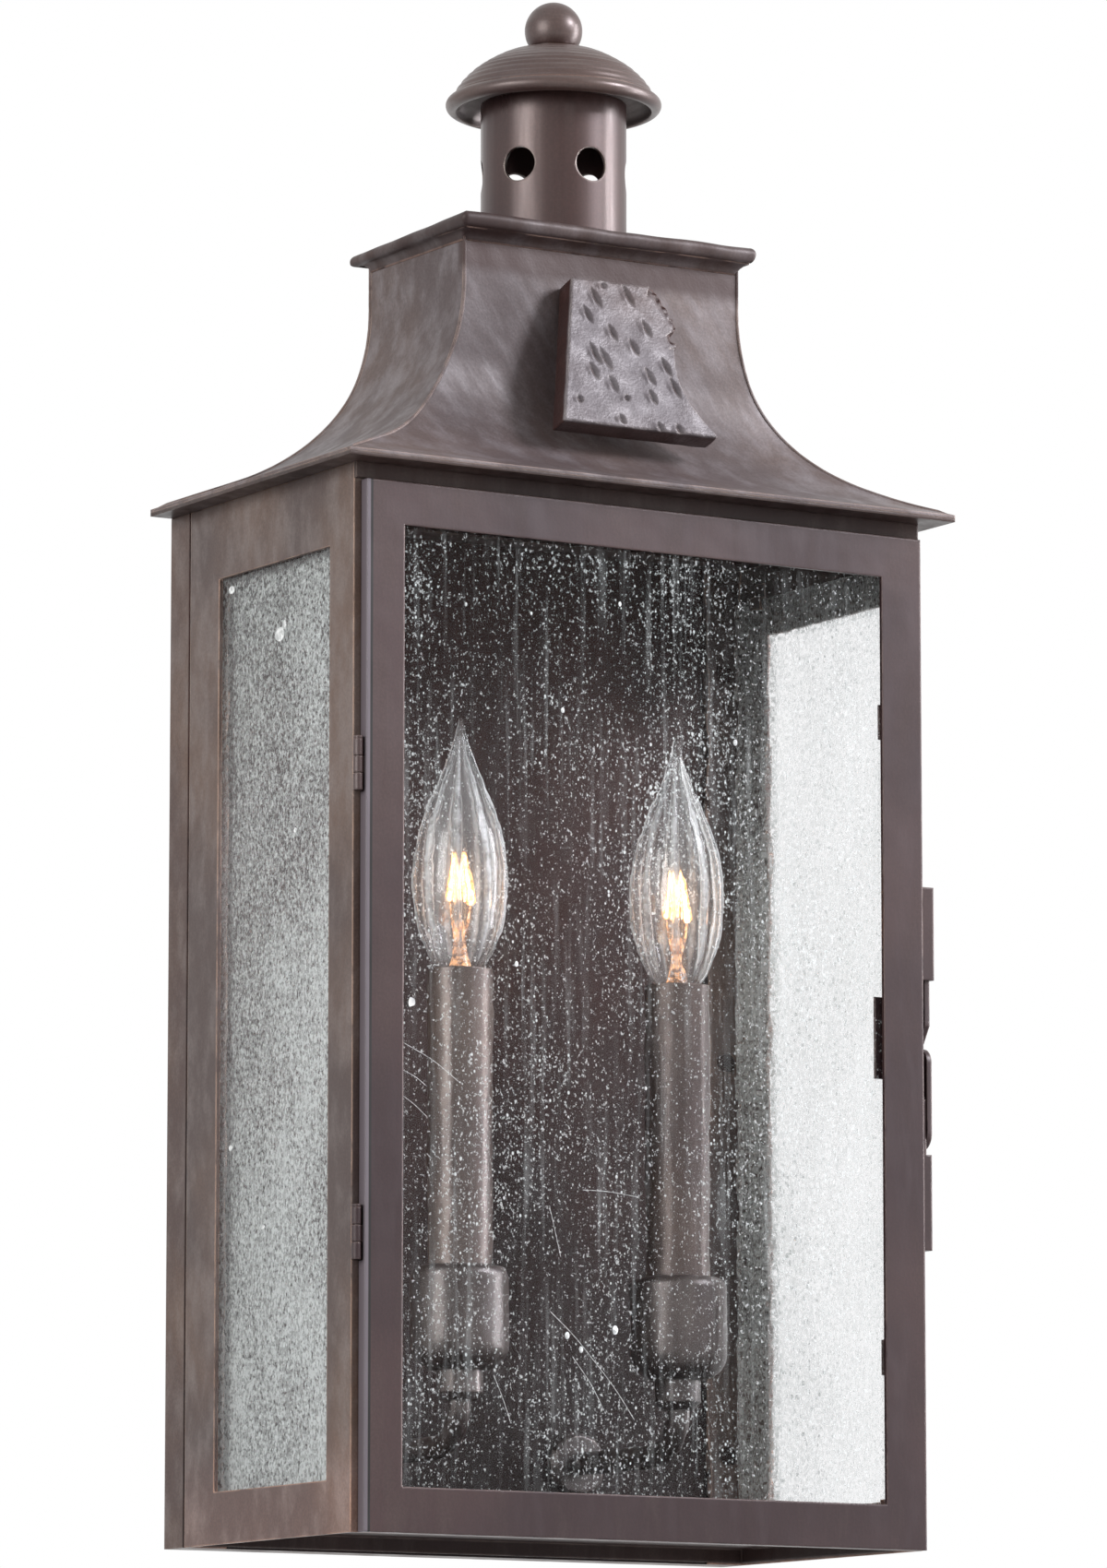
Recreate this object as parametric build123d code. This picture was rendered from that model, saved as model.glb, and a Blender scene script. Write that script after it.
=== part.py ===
from build123d import *
import math
import os

# Outdoor wall lantern with two candle lamps. Millimetres, +Z up.
# The origin is on the wall plane, in the middle between the two junction box screws.
# The wall is the plane Y = 0, the door faces -Y, and +X is to the right seen from the front.

# Body, with heights measured up from the bottom of the door
body_width = 224.0
body_depth = 129.0
door_height = 347.0
header_height = 6.0
mount_height = 190.0
pan_depth = 13.0
sheet = 1.2
frame_sheet = 1.5
touch_gap = 0.05
moving_gap = 0.3
cut_past = 1.0

# Margins of metal round the windows, and the panes behind them
door_side_margin = 16.0
door_top_margin = 14.3
door_bottom_margin = 15.0
side_front_margin = 15.7
side_back_margin = 20.0
side_top_margin = 26.0
side_bottom_margin = 17.5
glass_thickness = 2.5
door_glass_lap = 4.5
side_glass_bottom = 14.5
side_glass_drop = 13.0
side_glass_gap = 0.5

# Roof
eave_side = 8.5
eave_front = 7.5
eave_back_gap = 0.5
eave_edge = 1.2
eave_foot = 1.6
soffit_margin = 10.0
roof_rise = 86.3
flare_slope = 20.8
side_run = 65.6
side_bend = 65.0
front_run = 36.3
front_bend = 45.0
cap_side_overhang = 4.5
cap_front_overhang = 7.3
cap_slab = 3.2
cap_neck = 1.5
cap_neck_inset = 2.6

# Chimney, dome and finial
chimney_radius = 25.2
chimney_height = 53.0
chimney_seat = 1.0
vent_count = 6
vent_radius = 5.9
vent_height = 26.7
bridge_drop = 2.0
bridge_width = 10.0
dome_radius = 37.5
dome_rim_height = 4.8
dome_rim_round = 1.6
dome_rim_wall = 2.8
dome_wall = 1.4
dome_rise = 22.5
dome_lift = 49.3
crown_flat = 9.0
crown_steps = ((7.8, 2.2), (14.2, 5.4))
bead_radius = 1.3
bead_places = ((7.2, 7.9), (3.6, 3.0))
ball_radius = 10.0
finial_neck_radius = 7.6
finial_neck_height = 1.0
ball_foot_radius = 8.15
stud_radius = 2.0

# Hammered plate on the roof front
plate_top_width = 35.0
plate_bottom_width = 61.5
plate_length = 56.4
plate_thickness = 8.2
plate_bevel = 0.8
plate_tilt = 18.2
plate_drop = 15.3
plate_stud_spacing = 24.0
plate_stud_drop = 33.7

# Door
door_left_inset = 2.6
door_right_inset = 1.0
door_flange = 2.4
door_body_gap = 0.4
sill_height = 5.5
clip_sheet = 0.8
clip_length = 12.0
clip_foot = 6.0
clip_lap = 3.6
long_clip_length = 28.0
long_clip_height = 173.8
long_clip_lap = 6.0
side_clip_inset = 14.0
side_clip_length = 6.0

# Hinges
hinge_bottom_margin = 97.0
hinge_top_margin = 95.5
hinge_length = 17.0
knuckle_radius = 1.6
pin_radius = 0.8
pin_clearance = 0.05
knuckle_setback = 0.5
leaf_margin = 2.0

# Latch on the right side
strap_bottom = 194.4
strap_height = 32.0
strap_depth = 13.0
strap_side_gap = 0.5
ear_thickness = 3.0
tongue_length = 21.5
tongue_taper = 6.0
tongue_thickness = 2.0
tongue_front_inset = 1.4
tongue_tip_span = (5.0, 8.5)
latch_base_bottom = 102.0
latch_base_height = 32.7
latch_base_depth = 10.5
latch_block_thickness = 3.8
latch_plate_thickness = 1.6
lever_bottom = 136.4
lever_height = 35.0
lever_width = 11.5
lever_thickness = 1.9
lever_front_round = 5.0
lever_back_round = 2.0
lever_inset = 2.0
lever_gap = 0.1
rivet_radius = 1.6
rivet_head_height = 1.0

# Candle lamps
candle_spacing = 86.6
candle_to_wall = 78.5
arm_height = 33.0
arm_bend = 15.0
arm_radius = 4.0
arm_bore = 2.8
arm_thread_past = 0.4
flange_radius = 11.0
flange_thickness = 2.5
coupling_radius = 8.0
coupling_height = 10.0
coupling_overlap = 5.0
coupling_taper = 2.5
cup_radius = 16.5
cup_floor_radius = 7.5
cup_bottom = 58.0
cup_height = 35.0
cup_shoulder = 4.0
sleeve_radius = 11.0
sleeve_wall = 1.0
sleeve_top = 193.0
nipple_radius = 4.85
nipple_bore = 3.3
socket_radius = 9.6
socket_drop = 2.5
socket_cavity_depth = 24.5
socket_floor = 3.0
socket_room = 16.0
socket_skirt = 6.0
shell_wall = 0.4
base_clearance = 0.2
lamp_base_radius = 5.95
lamp_base_height = 20.0
lamp_base_tip = 2.0
thread_pitch = 2.5
thread_depth = 0.5
bulb_radius = 15.875
bulb_height = 89.0
bulb_wall = 0.7
lamp_stem_radius = 3.6
lamp_stem_height = 20.0
filament_height = 44.0
filament_spread = 2.6
filament_wire = 0.45
nut_thickness = 3.0
arm_nut_flats = 12.5
arm_nut_thickness = 2.4

# Wiring that the body holds
lead_radius = 1.0
lead_offset = 1.25
lead_plane = 5.0
lead_bend = 3.8
lead_sweep_bend = 12.0
lead_rise = 60.0
connector_height = 122.0
connector_radius = 3.6
connector_length = 14.0
connector_mouth = 2.0
connector_place = 12.0

# Mounting
crossbar_thickness = 2.0
crossbar_width = 18.0
crossbar_length = 104.0
box_screw_spacing = 79.4
box_slot_radius = 2.2
box_slot_length = 13.9
mounting_screw_spacing = 44.0
screw_radius = 2.0
screw_clearance = 0.25
small_nut_flats = 8.0
cap_nut_length = 7.0
cap_nut_wall = 2.0
rivet_end_margin = 38.0
rivet_inset = 7.0
pan_gap = 0.8
ground_screw_place = 24.0

# Places worked out from the sizes above
floor = -mount_height
half_width = body_width / 2
front_y = -body_depth
door_back = front_y + frame_sheet
body_front = door_back + door_flange + door_body_gap
return_back = body_front + frame_sheet
web_y = -pan_depth
web_back = web_y + sheet
frame_back = web_y - pan_gap
flange_front = frame_back - frame_sheet
inner_x = half_width - frame_sheet
door_left = -half_width + door_left_inset
door_right = half_width - door_right_inset
door_top = floor + door_height
soffit_z = door_top + header_height
window_half = door_right - door_side_margin
door_glass_half = window_half + door_glass_lap
clip_outside = door_glass_half + moving_gap + clip_sheet
clip_room = -door_left - sheet - door_glass_half - 2 * moving_gap
return_edge = clip_outside + moving_gap
eave_z = soffit_z + sheet
roof_top = eave_z + eave_edge + roof_rise
eave_front_y = front_y - eave_front
eave_back_y = -eave_back_gap
roof_y = (eave_front_y + eave_back_y) / 2
half_eave_x = half_width + eave_side
half_eave_y = (eave_back_y - eave_front_y) / 2
roof_face_y = roof_y - half_eave_y + front_run
cap_top = roof_top + cap_neck + cap_slab
chimney_bottom = cap_top - chimney_seat
chimney_top = chimney_bottom + chimney_height
bridge_top = chimney_top - bridge_drop
dome_bottom = cap_top + dome_lift
dome_top = dome_bottom + dome_rise
hinge_x = door_left - moving_gap - knuckle_radius
hinge_y = body_front - knuckle_setback - knuckle_radius
ear_inside = half_width + strap_side_gap
ear_outside = ear_inside + ear_thickness
lever_inside = half_width + latch_plate_thickness + lever_gap
lever_outside = lever_inside + lever_thickness
pivot_y = front_y + lever_inset + lever_width / 2
pivot_z = floor + lever_bottom + lever_width / 2
candle_x = candle_spacing / 2
candle_y = -candle_to_wall
arm_z = floor + arm_height
cup_z = floor + cup_bottom
coupling_z = cup_z - coupling_height
nipple_z = coupling_z + coupling_overlap
bulb_z = floor + sleeve_top - socket_drop
cavity_z = bulb_z - socket_cavity_depth
nipple_top = cavity_z - socket_room
connector_z = floor + connector_height


def block(x, y, z):
    """A box between two corners, each axis given as (low, high)."""
    spans = [sorted(span) for span in (x, y, z)]
    size = [high - low for low, high in spans]
    centre = [(high + low) / 2 for low, high in spans]
    return Pos(*centre) * Box(*size)


def bar_plane(start, end):
    """The plane of a bar's first end, facing the other end, and the bar's length."""
    run = Vector(*end) - Vector(*start)
    return Plane(origin=start, z_dir=run.normalized()), run.length


def rod(radius, start, end):
    """A round bar between two points."""
    plane, length = bar_plane(start, end)
    return extrude(plane * Circle(radius), length)


def ring(outer, inner, start, end):
    """A tube between two points."""
    return rod(outer, start, end) - rod(inner, start, end)


def hex_nut(flats, bore, start, end):
    """A hexagonal nut between two points on its axis, with its size across the flats."""
    plane, length = bar_plane(start, end)
    corner_radius = flats / 2 / math.cos(math.pi / 6)
    return extrude(plane * RegularPolygon(corner_radius, 6), length) - rod(bore, start, end)


def turned(points, x=0, y=0):
    """A solid of revolution about a vertical axis, from (radius, height) points."""
    outline = make_face(Plane.XZ * Polyline(*points, close=True))
    return Pos(x, y, 0) * revolve(outline, Axis.Z)


def arc_points(centre, radius, start, end, steps=4):
    """Points on an arc about a centre, angles in degrees from the first axis."""
    turns = [math.radians(start + (end - start) * n / steps) for n in range(steps + 1)]
    return [(centre[0] + radius * math.cos(a), centre[1] + radius * math.sin(a)) for a in turns]


def side_plate(face, x):
    """A plate parallel to the side, from a face drawn in (y, z) and a span in x."""
    return extrude(Plane(origin=(x[0], 0, 0), x_dir=(0, 1, 0), z_dir=(1, 0, 0)) * face, x[1] - x[0])


def rivet_head(x, y, z):
    """A low conical head on a face that looks to +X."""
    wide = 2 * rivet_radius
    head = turned([(0, 0), (wide, 0), (wide - rivet_head_height, rivet_head_height), (0, rivet_head_height)])
    return Pos(x, y, z) * Rot(0, 90, 0) * head


def mirror_x(shape):
    """The same piece on the other side of the middle plane."""
    return mirror(shape, Plane.YZ)


def both_sides(shape):
    return [shape, mirror_x(shape)]


def save(name, shape):
    """Writes one node. A list is a node of several separate solids."""
    if isinstance(shape, list):
        shape = Compound(children=[solid for piece in shape for solid in piece.solids()])
    export_step(shape, f"parts/{name}.step")


# Wall pan, crossbar and fixings


def pan_rivet_places():
    """Centres (x, z) of the rivets that join the pan and the side frames."""
    across = inner_x - rivet_inset
    heights = (floor + rivet_end_margin, (floor + soffit_z) / 2, soffit_z - rivet_end_margin)
    return [(side * across, z) for side in (-1, 1) for z in heights]


def mounting_screw_heights():
    return (-mounting_screw_spacing / 2, mounting_screw_spacing / 2)


def wall_pan():
    """A shallow tray, open to the wall, that closes the back of the lantern."""
    front = web_y - cut_past
    pan = block((-half_width, half_width), (web_y, 0), (floor, soffit_z))
    pan -= block(
        (-half_width + sheet, half_width - sheet), (web_back, cut_past), (floor + sheet, soffit_z - sheet)
    )
    for x, z in pan_rivet_places():
        pan -= rod(rivet_radius, (x, front, z), (x, 0, z))
    for x in (-candle_x, candle_x):
        pan -= rod(arm_radius + touch_gap, (x, front, arm_z), (x, 0, arm_z))
    for z in mounting_screw_heights():
        pan -= rod(screw_radius + screw_clearance, (0, front, z), (0, 0, z))
    return pan - rod(rivet_radius, (-ground_screw_place, front, 0), (-ground_screw_place, 0, 0))


def pan_rivet(x, z):
    """A rivet through flange and pan, with a washer that keeps the two apart."""
    head = 2 * rivet_radius
    shank = rod(rivet_radius, (x, flange_front, z), (x, web_back, z))
    washer = rod(head, (x, frame_back, z), (x, web_y, z))
    front_head = rod(head, (x, flange_front - rivet_head_height, z), (x, flange_front, z))
    back_head = rod(head, (x, web_back, z), (x, web_back + rivet_head_height, z))
    return shank + washer + front_head + back_head


def crossbar():
    """The strap on the junction box: two slots for the box screws, two threaded holes for the pan."""
    half = crossbar_width / 2
    bar = block((-half, half), (-crossbar_thickness, 0), (-crossbar_length / 2, crossbar_length / 2))
    slot = SlotOverall(box_slot_length, 2 * box_slot_radius, rotation=90)
    for side in (-1, 1):
        centre = (0, 0, side * box_screw_spacing / 2)
        bar -= extrude(Plane(origin=centre, x_dir=(1, 0, 0), z_dir=(0, -1, 0)) * slot, crossbar_thickness)
    for z in mounting_screw_heights():
        bar -= rod(screw_radius, (0, -crossbar_thickness, z), (0, 0, z))
    return bar


def mounting_screw_end():
    return web_y - cap_nut_length + cap_nut_wall


def mounting_screw(z):
    return rod(screw_radius, (0, mounting_screw_end(), z), (0, 0, z))


def cap_nut(z):
    """A domed nut over the end of a mounting screw, inside the lantern."""
    middle = web_y - cap_nut_length / 2
    end = web_y - cap_nut_length
    nut = hex_nut(small_nut_flats, screw_radius, (0, web_y, z), (0, middle, z))
    dome = rod(small_nut_flats / 2 - touch_gap, (0, middle, z), (0, end, z))
    rim = dome.edges().filter_by(GeomType.CIRCLE).sort_by(Axis.Y)[0]
    dome = fillet(rim, cap_nut_wall)
    return nut + (dome - rod(screw_radius, (0, middle, z), (0, mounting_screw_end(), z)))


def ground_screw():
    x = -ground_screw_place
    head = hex_nut(small_nut_flats, rivet_radius, (x, web_back, 0), (x, web_back + nut_thickness, 0))
    return head + rod(rivet_radius, (x, web_y - cut_past, 0), (x, web_back + nut_thickness, 0))


# Body: side frames, rails and bottom plate


def side_frame():
    """The right side frame: a flat frame with returns at its front and back edges."""
    z = (floor, soffit_z)
    frame = block((inner_x, half_width), (body_front, frame_back), z)
    frame -= block(
        (inner_x - cut_past, half_width + cut_past),
        (body_front + side_front_margin, frame_back - side_back_margin),
        (floor + side_bottom_margin, soffit_z - side_top_margin),
    )
    frame += block((return_edge, inner_x), (body_front, return_back), z)
    frame += block((inner_x - 2 * rivet_inset, inner_x), (flange_front, frame_back), z)
    for x, height in pan_rivet_places():
        if x > 0:
            frame -= rod(rivet_radius, (x, flange_front, height), (x, frame_back, height))
    return frame


def header_rail():
    """The strip over the door, on the front of the returns."""
    low = door_top + 2 * moving_gap
    return block((-half_width, half_width), (body_front - frame_sheet, body_front), (low, soffit_z))


def sill_rail():
    return block((-return_edge, return_edge), (body_front, return_back), (floor, floor + sill_height))


def bottom_plate():
    """A tray turned upside down between the side frames, its floor set up from their lower edges."""
    y = (return_back, flange_front)
    low = floor + sheet / 2
    top = floor + sill_height + sheet
    tray = block((-inner_x, inner_x), y, (low, top))
    return tray - block(
        (-inner_x + sheet, inner_x - sheet), (y[0] + sheet, y[1] - sheet), (floor, top - sheet)
    )


# Roof


def flare_arc(run, bend, half_eave, inward):
    """Start, middle and end (out, up) of a roof line's bend, moved inward by a sheet's thickness."""
    slope = math.radians(flare_slope)
    centre_out = half_eave - run + bend
    straight_run = run - bend * (1 - math.sin(slope))
    centre_up = eave_z + eave_edge + straight_run * math.tan(slope) + bend * math.cos(slope)
    radius = bend + inward
    angles = (slope, (math.pi / 2 + slope) / 2, math.pi / 2)
    return [(centre_out - radius * math.sin(a), centre_up - radius * math.cos(a)) for a in angles]


def roof_volume(run, bend, half_eave, inward, reach):
    """The space under one pair of flared roof lines, drawn in XZ about X = 0 and run along Y."""
    start, middle, end = flare_arc(run, bend, half_eave, inward)
    foot = half_eave - (eave_foot if inward else 0)
    foot_up = start[1] - (foot - start[0]) * math.tan(math.radians(flare_slope))
    top = roof_top + (cut_past if inward else 0)
    outline = Line((-foot, eave_z), (foot, eave_z)) + Line((-end[0], top), (end[0], top))
    for side in (-1, 1):
        outline += Line((side * foot, eave_z), (side * foot, foot_up))
        outline += Line((side * foot, foot_up), (side * start[0], start[1]))
        outline += ThreePointArc(*[(side * out, up) for out, up in (start, middle, end)])
        outline += Line((side * end[0], end[1]), (side * end[0], top))
    return extrude(make_face(Plane.XZ * outline), reach, both=True)


def roof_panels():
    """Four flared sheets. The front and the back lap over the cut edges of the sides."""
    side_line = (side_run, side_bend, half_eave_x)
    front_line = (front_run, front_bend, half_eave_y)
    turn = Pos(0, roof_y, 0) * Rot(0, 0, 90)
    sides_out = roof_volume(*side_line, 0, body_width)
    sides_in = roof_volume(*side_line, sheet, body_width)
    fronts_out = turn * roof_volume(*front_line, 0, body_width)
    fronts_in = turn * roof_volume(*front_line, sheet, body_width)
    front, back = ((fronts_out - fronts_in) & sides_out).solids().sort_by(Axis.Y)
    left, right = ((sides_out - sides_in) & fronts_in).solids().sort_by(Axis.X)
    for x, z in plate_stud_places():
        front -= rod(stud_radius + touch_gap, (x, roof_face_y - cut_past, z), (x, roof_y, z))
    return {"front": front, "back": back, "left": left, "right": right}


def soffit_plate():
    """The flat plate under the eaves, open in the middle for the warm air."""
    plate = block((-half_eave_x, half_eave_x), (eave_front_y, eave_back_y), (soffit_z, eave_z))
    return plate - block(
        (-return_edge, return_edge),
        (return_back + soffit_margin, flange_front - soffit_margin),
        (soffit_z - cut_past, eave_z + cut_past),
    )


def roof_cap():
    """The moulded plate that closes the roof: a slab with a rolled edge over a narrower neck."""
    half_x = half_eave_x - side_run + cap_side_overhang
    half_y = half_eave_y - front_run + cap_front_overhang
    slab_z = cap_top - cap_slab
    slab = block((-half_x, half_x), (roof_y - half_y, roof_y + half_y), (slab_z, cap_top))
    slab = fillet(slab.edges().filter_by(Axis.Z), cap_slab / 2)
    slab = fillet(slab.faces().sort_by(Axis.Z)[-1].edges(), cap_slab * 0.45)
    slab = fillet(slab.faces().sort_by(Axis.Z)[0].edges(), cap_slab * 0.35)
    neck_x = half_x - cap_neck_inset
    neck_y = half_y - cap_neck_inset
    neck = block((-neck_x, neck_x), (roof_y - neck_y, roof_y + neck_y), (roof_top, slab_z))
    above = cap_top + cut_past
    bore = rod(chimney_radius - 2 * sheet, (0, roof_y, roof_top - cut_past), (0, roof_y, above))
    seat = rod(chimney_radius + touch_gap, (0, roof_y, chimney_bottom), (0, roof_y, above))
    return slab + neck - bore - seat


# Chimney, dome and finial


def chimney():
    tube = ring(chimney_radius, chimney_radius - sheet, (0, roof_y, chimney_bottom), (0, roof_y, chimney_top))
    z = cap_top + vent_height
    for n in range(vent_count):
        turn = 2 * math.pi * n / vent_count
        out = (2 * chimney_radius * math.sin(turn), roof_y - 2 * chimney_radius * math.cos(turn), z)
        tube -= rod(vent_radius, (0, roof_y, z), out)
    return tube


def bridge():
    """A bent strap across the chimney's mouth that takes the finial's stud."""
    reach = chimney_radius - sheet
    low = bridge_top - bridge_width
    y = (roof_y - bridge_width / 2, roof_y + bridge_width / 2)
    strap = block((-reach, reach), y, (low, bridge_top)) & rod(reach, (0, roof_y, low), (0, roof_y, bridge_top))
    inside = reach - 2 * frame_sheet
    strap -= block((-inside, inside), y, (low, bridge_top - frame_sheet))
    return strap - rod(stud_radius + touch_gap, (0, roof_y, low), (0, roof_y, bridge_top))


def dome():
    """A spun cap: shallow crown, two raised beads and a rolled rim, hollow underneath."""
    rim_top = dome_bottom + dome_rim_height
    corner = dome_radius - dome_rim_round
    bore = stud_radius + touch_gap
    beads = [(dome_radius - inset, rim_top + rise) for inset, rise in bead_places]
    crown = [(crown_flat + out, dome_top - down) for out, down in crown_steps]
    outer = [(bore, dome_top), (crown_flat, dome_top)] + crown
    for bead in beads:
        outer += arc_points(bead, bead_radius, 105, -35)
    outer += arc_points((corner, rim_top - dome_rim_round), dome_rim_round, 80, 0)
    outer += arc_points((corner, dome_bottom + dome_rim_round), dome_rim_round, 0, -90)
    inside_radius = dome_radius - dome_rim_wall
    inner = [
        (inside_radius, dome_bottom),
        (inside_radius, rim_top - dome_wall / 2),
        (beads[0][0] - dome_wall, beads[0][1] - dome_wall),
    ]
    inner += [(out - dome_wall / 2, up - dome_wall) for out, up in reversed(crown)]
    inner += [(crown_flat, dome_top - dome_wall), (bore, dome_top - dome_wall)]
    return turned(outer + inner, 0, roof_y)


def finial():
    """The ball, its neck and the stud that ties the dome to the bridge."""
    seat = dome_top + finial_neck_height
    ball = Pos(0, roof_y, seat + math.sqrt(ball_radius**2 - ball_foot_radius**2)) * Sphere(ball_radius)
    reach = (-2 * ball_radius, 2 * ball_radius)
    ball -= block(reach, (roof_y + reach[0], roof_y + reach[1]), (seat - ball_radius, seat))
    neck = rod(finial_neck_radius, (0, roof_y, dome_top), (0, roof_y, seat))
    low = bridge_top - frame_sheet - nut_thickness - stud_radius
    return ball + neck + rod(stud_radius, (0, roof_y, low), (0, roof_y, dome_top))


def finial_spacer():
    top = dome_top - dome_wall
    return ring(2 * stud_radius, stud_radius + touch_gap, (0, roof_y, bridge_top), (0, roof_y, top))


def finial_nut():
    top = bridge_top - frame_sheet
    return hex_nut(small_nut_flats, stud_radius, (0, roof_y, top - nut_thickness), (0, roof_y, top))


# Hammered plate


def plate_back(z):
    """Where the leaning plate's back face is (y) at a height."""
    return roof_face_y - moving_gap - (roof_top - plate_drop - z) * math.tan(math.radians(plate_tilt))


def plate_stud_places():
    """Centres (x, z) of the two studs that hold the plate."""
    return [(side * plate_stud_spacing / 2, roof_top - plate_stud_drop) for side in (-1, 1)]


def plate_stud_front(z):
    """A stud ends half way through the slab."""
    return plate_back(z) - plate_thickness / 2 / math.cos(math.radians(plate_tilt))


def hammered_plate():
    """A forged keystone slab that leans back and stands off the hollow of the roof."""
    tilt = math.radians(plate_tilt)
    top_z = roof_top - plate_drop
    plane = Plane(
        origin=(0, plate_back(top_z), top_z), x_dir=(1, 0, 0), z_dir=(0, -math.cos(tilt), math.sin(tilt))
    )
    corners = [(plate_top_width / 2, 0), (plate_bottom_width / 2, -plate_length)]
    outline = Polyline(*corners, *[(-x, y) for x, y in reversed(corners)], close=True)
    slab = extrude(plane * make_face(outline), plate_thickness)
    slab = chamfer(slab.faces().sort_by(Axis.Y)[0].edges(), plate_bevel)
    for x, z in plate_stud_places():
        slab -= rod(stud_radius, (x, plate_stud_front(z), z), (x, roof_y, z))
    return slab


def plate_stud(x, z):
    end = roof_face_y + sheet + nut_thickness + cut_past
    return rod(stud_radius, (x, plate_stud_front(z), z), (x, end, z))


def plate_nuts(x, z):
    """A nut on each side of the roof sheet."""
    spans = [
        (roof_face_y - nut_thickness, roof_face_y),
        (roof_face_y + sheet, roof_face_y + sheet + nut_thickness),
    ]
    return [hex_nut(small_nut_flats, stud_radius, (x, start, z), (x, end, z)) for start, end in spans]


# Door


def hinge_middles():
    return (floor + hinge_bottom_margin, door_top - hinge_top_margin)


def door_window_z():
    return (floor + door_bottom_margin, door_top - door_top_margin)


def door_glass_z():
    low, high = door_window_z()
    return (low - door_glass_lap, high + door_glass_lap)


def door_frame():
    """A flat frame with a folded edge all round, notched where the hinges pass."""
    x = (door_left, door_right)
    z = (floor, door_top)
    frame = block(x, (front_y, door_back + door_flange), z)
    frame -= block((x[0] + sheet, x[1] - sheet), (door_back, 0), (z[0] + sheet, z[1] - sheet))
    frame -= block((-window_half, window_half), (front_y - cut_past, 0), door_window_z())
    reach = hinge_length / 2 + moving_gap
    for middle in hinge_middles():
        frame -= block((x[0] - cut_past, x[0] + 2 * sheet), (door_back, 0), (middle - reach, middle + reach))
    return frame


def door_glass():
    y = (door_back + touch_gap, door_back + glass_thickness)
    return block((-door_glass_half, door_glass_half), y, door_glass_z())


def door_clip(edge, outward, along, lap, upright):
    """A bent clip: a foot on the door, a riser past the glass edge and a lip over the glass.

    edge is where the glass ends and outward is that way's sign. upright is for the left and right.
    The foot is no longer than the room between the glass and the door's folded edge."""
    near = edge + outward * moving_gap
    far = near + outward * clip_sheet
    back = door_back + glass_thickness + touch_gap
    lip_back = back + clip_sheet
    pieces = (
        ((near, near + outward * min(clip_foot, clip_room)), (door_back, door_back + clip_sheet)),
        ((near, far), (door_back, lip_back)),
        ((edge - outward * lap, far), (back, lip_back)),
    )
    foot, riser, lip = [block(span, y, along) if upright else block(along, y, span) for span, y in pieces]
    return foot + riser + lip


def door_clips():
    """Short clips round the glass, and a long one at the right whose lip shows in the window."""
    low, high = door_glass_z()

    def span(middle, length):
        return (middle - length / 2, middle + length / 2)

    clips = []
    third = (high - low) / 3
    for step in (-1, 0, 1):
        along = span((low + high) / 2 + step * third, clip_length)
        clips.append(door_clip(-door_glass_half, -1, along, clip_lap, True))
        if step:
            clips.append(door_clip(door_glass_half, 1, along, clip_lap, True))
            across = span(step * door_glass_half / 2, clip_length)
            clips.append(door_clip(high, 1, across, clip_lap, False))
            clips.append(door_clip(low, -1, across, clip_lap, False))
    long_span = span(floor + long_clip_height, long_clip_length)
    clips.append(door_clip(door_glass_half, 1, long_span, long_clip_lap, True))
    return clips


# Hinges, each with two knuckles on the body and one on the door


def knuckle_spans(middle):
    """Heights of the lower, middle and upper knuckles of one hinge."""
    low = middle - hinge_length / 2
    third = hinge_length / 3
    gap = moving_gap / 2
    return (
        (low, low + third - gap),
        (low + third + gap, low + 2 * third - gap),
        (low + 2 * third + gap, low + hinge_length),
    )


def on_hinge(radius, low, high):
    return rod(radius, (hinge_x, hinge_y, low), (hinge_x, hinge_y, high))


def body_leaf(middle):
    """The body's half: a leaf on the front of the return and the two outer knuckles."""
    lower, centre, upper = knuckle_spans(middle)
    leaf = block((hinge_x, -return_edge - leaf_margin), (body_front - 2 * knuckle_setback, body_front), (lower[0], upper[1]))
    clear = knuckle_radius + moving_gap
    leaf -= block((hinge_x, hinge_x + clear), (hinge_y, body_front), (lower[1], upper[0]))
    for low, high in (lower, upper):
        leaf += on_hinge(knuckle_radius, low, high)
    return leaf - on_hinge(pin_radius + pin_clearance, lower[0], upper[1])


def door_leaf(middle):
    """The door's half: a leaf on the back of the door and the middle knuckle."""
    lower, centre, upper = knuckle_spans(middle)
    y = (door_back, door_back + clip_sheet)
    neck_end = door_left + 2 * sheet
    leaf = block((neck_end, -clip_outside), y, (lower[0], upper[1]))
    leaf += block((hinge_x, neck_end), y, centre)
    leaf += on_hinge(knuckle_radius, *centre)
    return leaf - on_hinge(pin_radius + pin_clearance, *centre)


def hinge_pin(middle):
    lower, centre, upper = knuckle_spans(middle)
    head = on_hinge(knuckle_radius - touch_gap, upper[1], upper[1] + rivet_head_height)
    return on_hinge(pin_radius, lower[0], upper[1]) + head


# Latch


def latch_strap():
    """A strap round the door's edge, with an ear along the side and a tapering tongue below."""
    low = floor + strap_bottom
    z = (low, low + strap_height)
    edge_block = block((door_right, ear_outside), (front_y, door_back + door_flange), z)
    ear = block((ear_inside, ear_outside), (front_y, front_y + strap_depth), z)
    tip = low - tongue_length
    taper_start = tip + tongue_taper
    outline = Polyline(
        (front_y + tongue_front_inset, low + cut_past),
        (front_y + tongue_front_inset, taper_start),
        (front_y + tongue_tip_span[0], tip),
        (front_y + tongue_tip_span[1], tip),
        (front_y + strap_depth - cut_past, taper_start),
        (front_y + strap_depth - cut_past, low + cut_past),
        close=True,
    )
    return edge_block + ear + side_plate(make_face(outline), (ear_inside, ear_inside + tongue_thickness))


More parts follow.
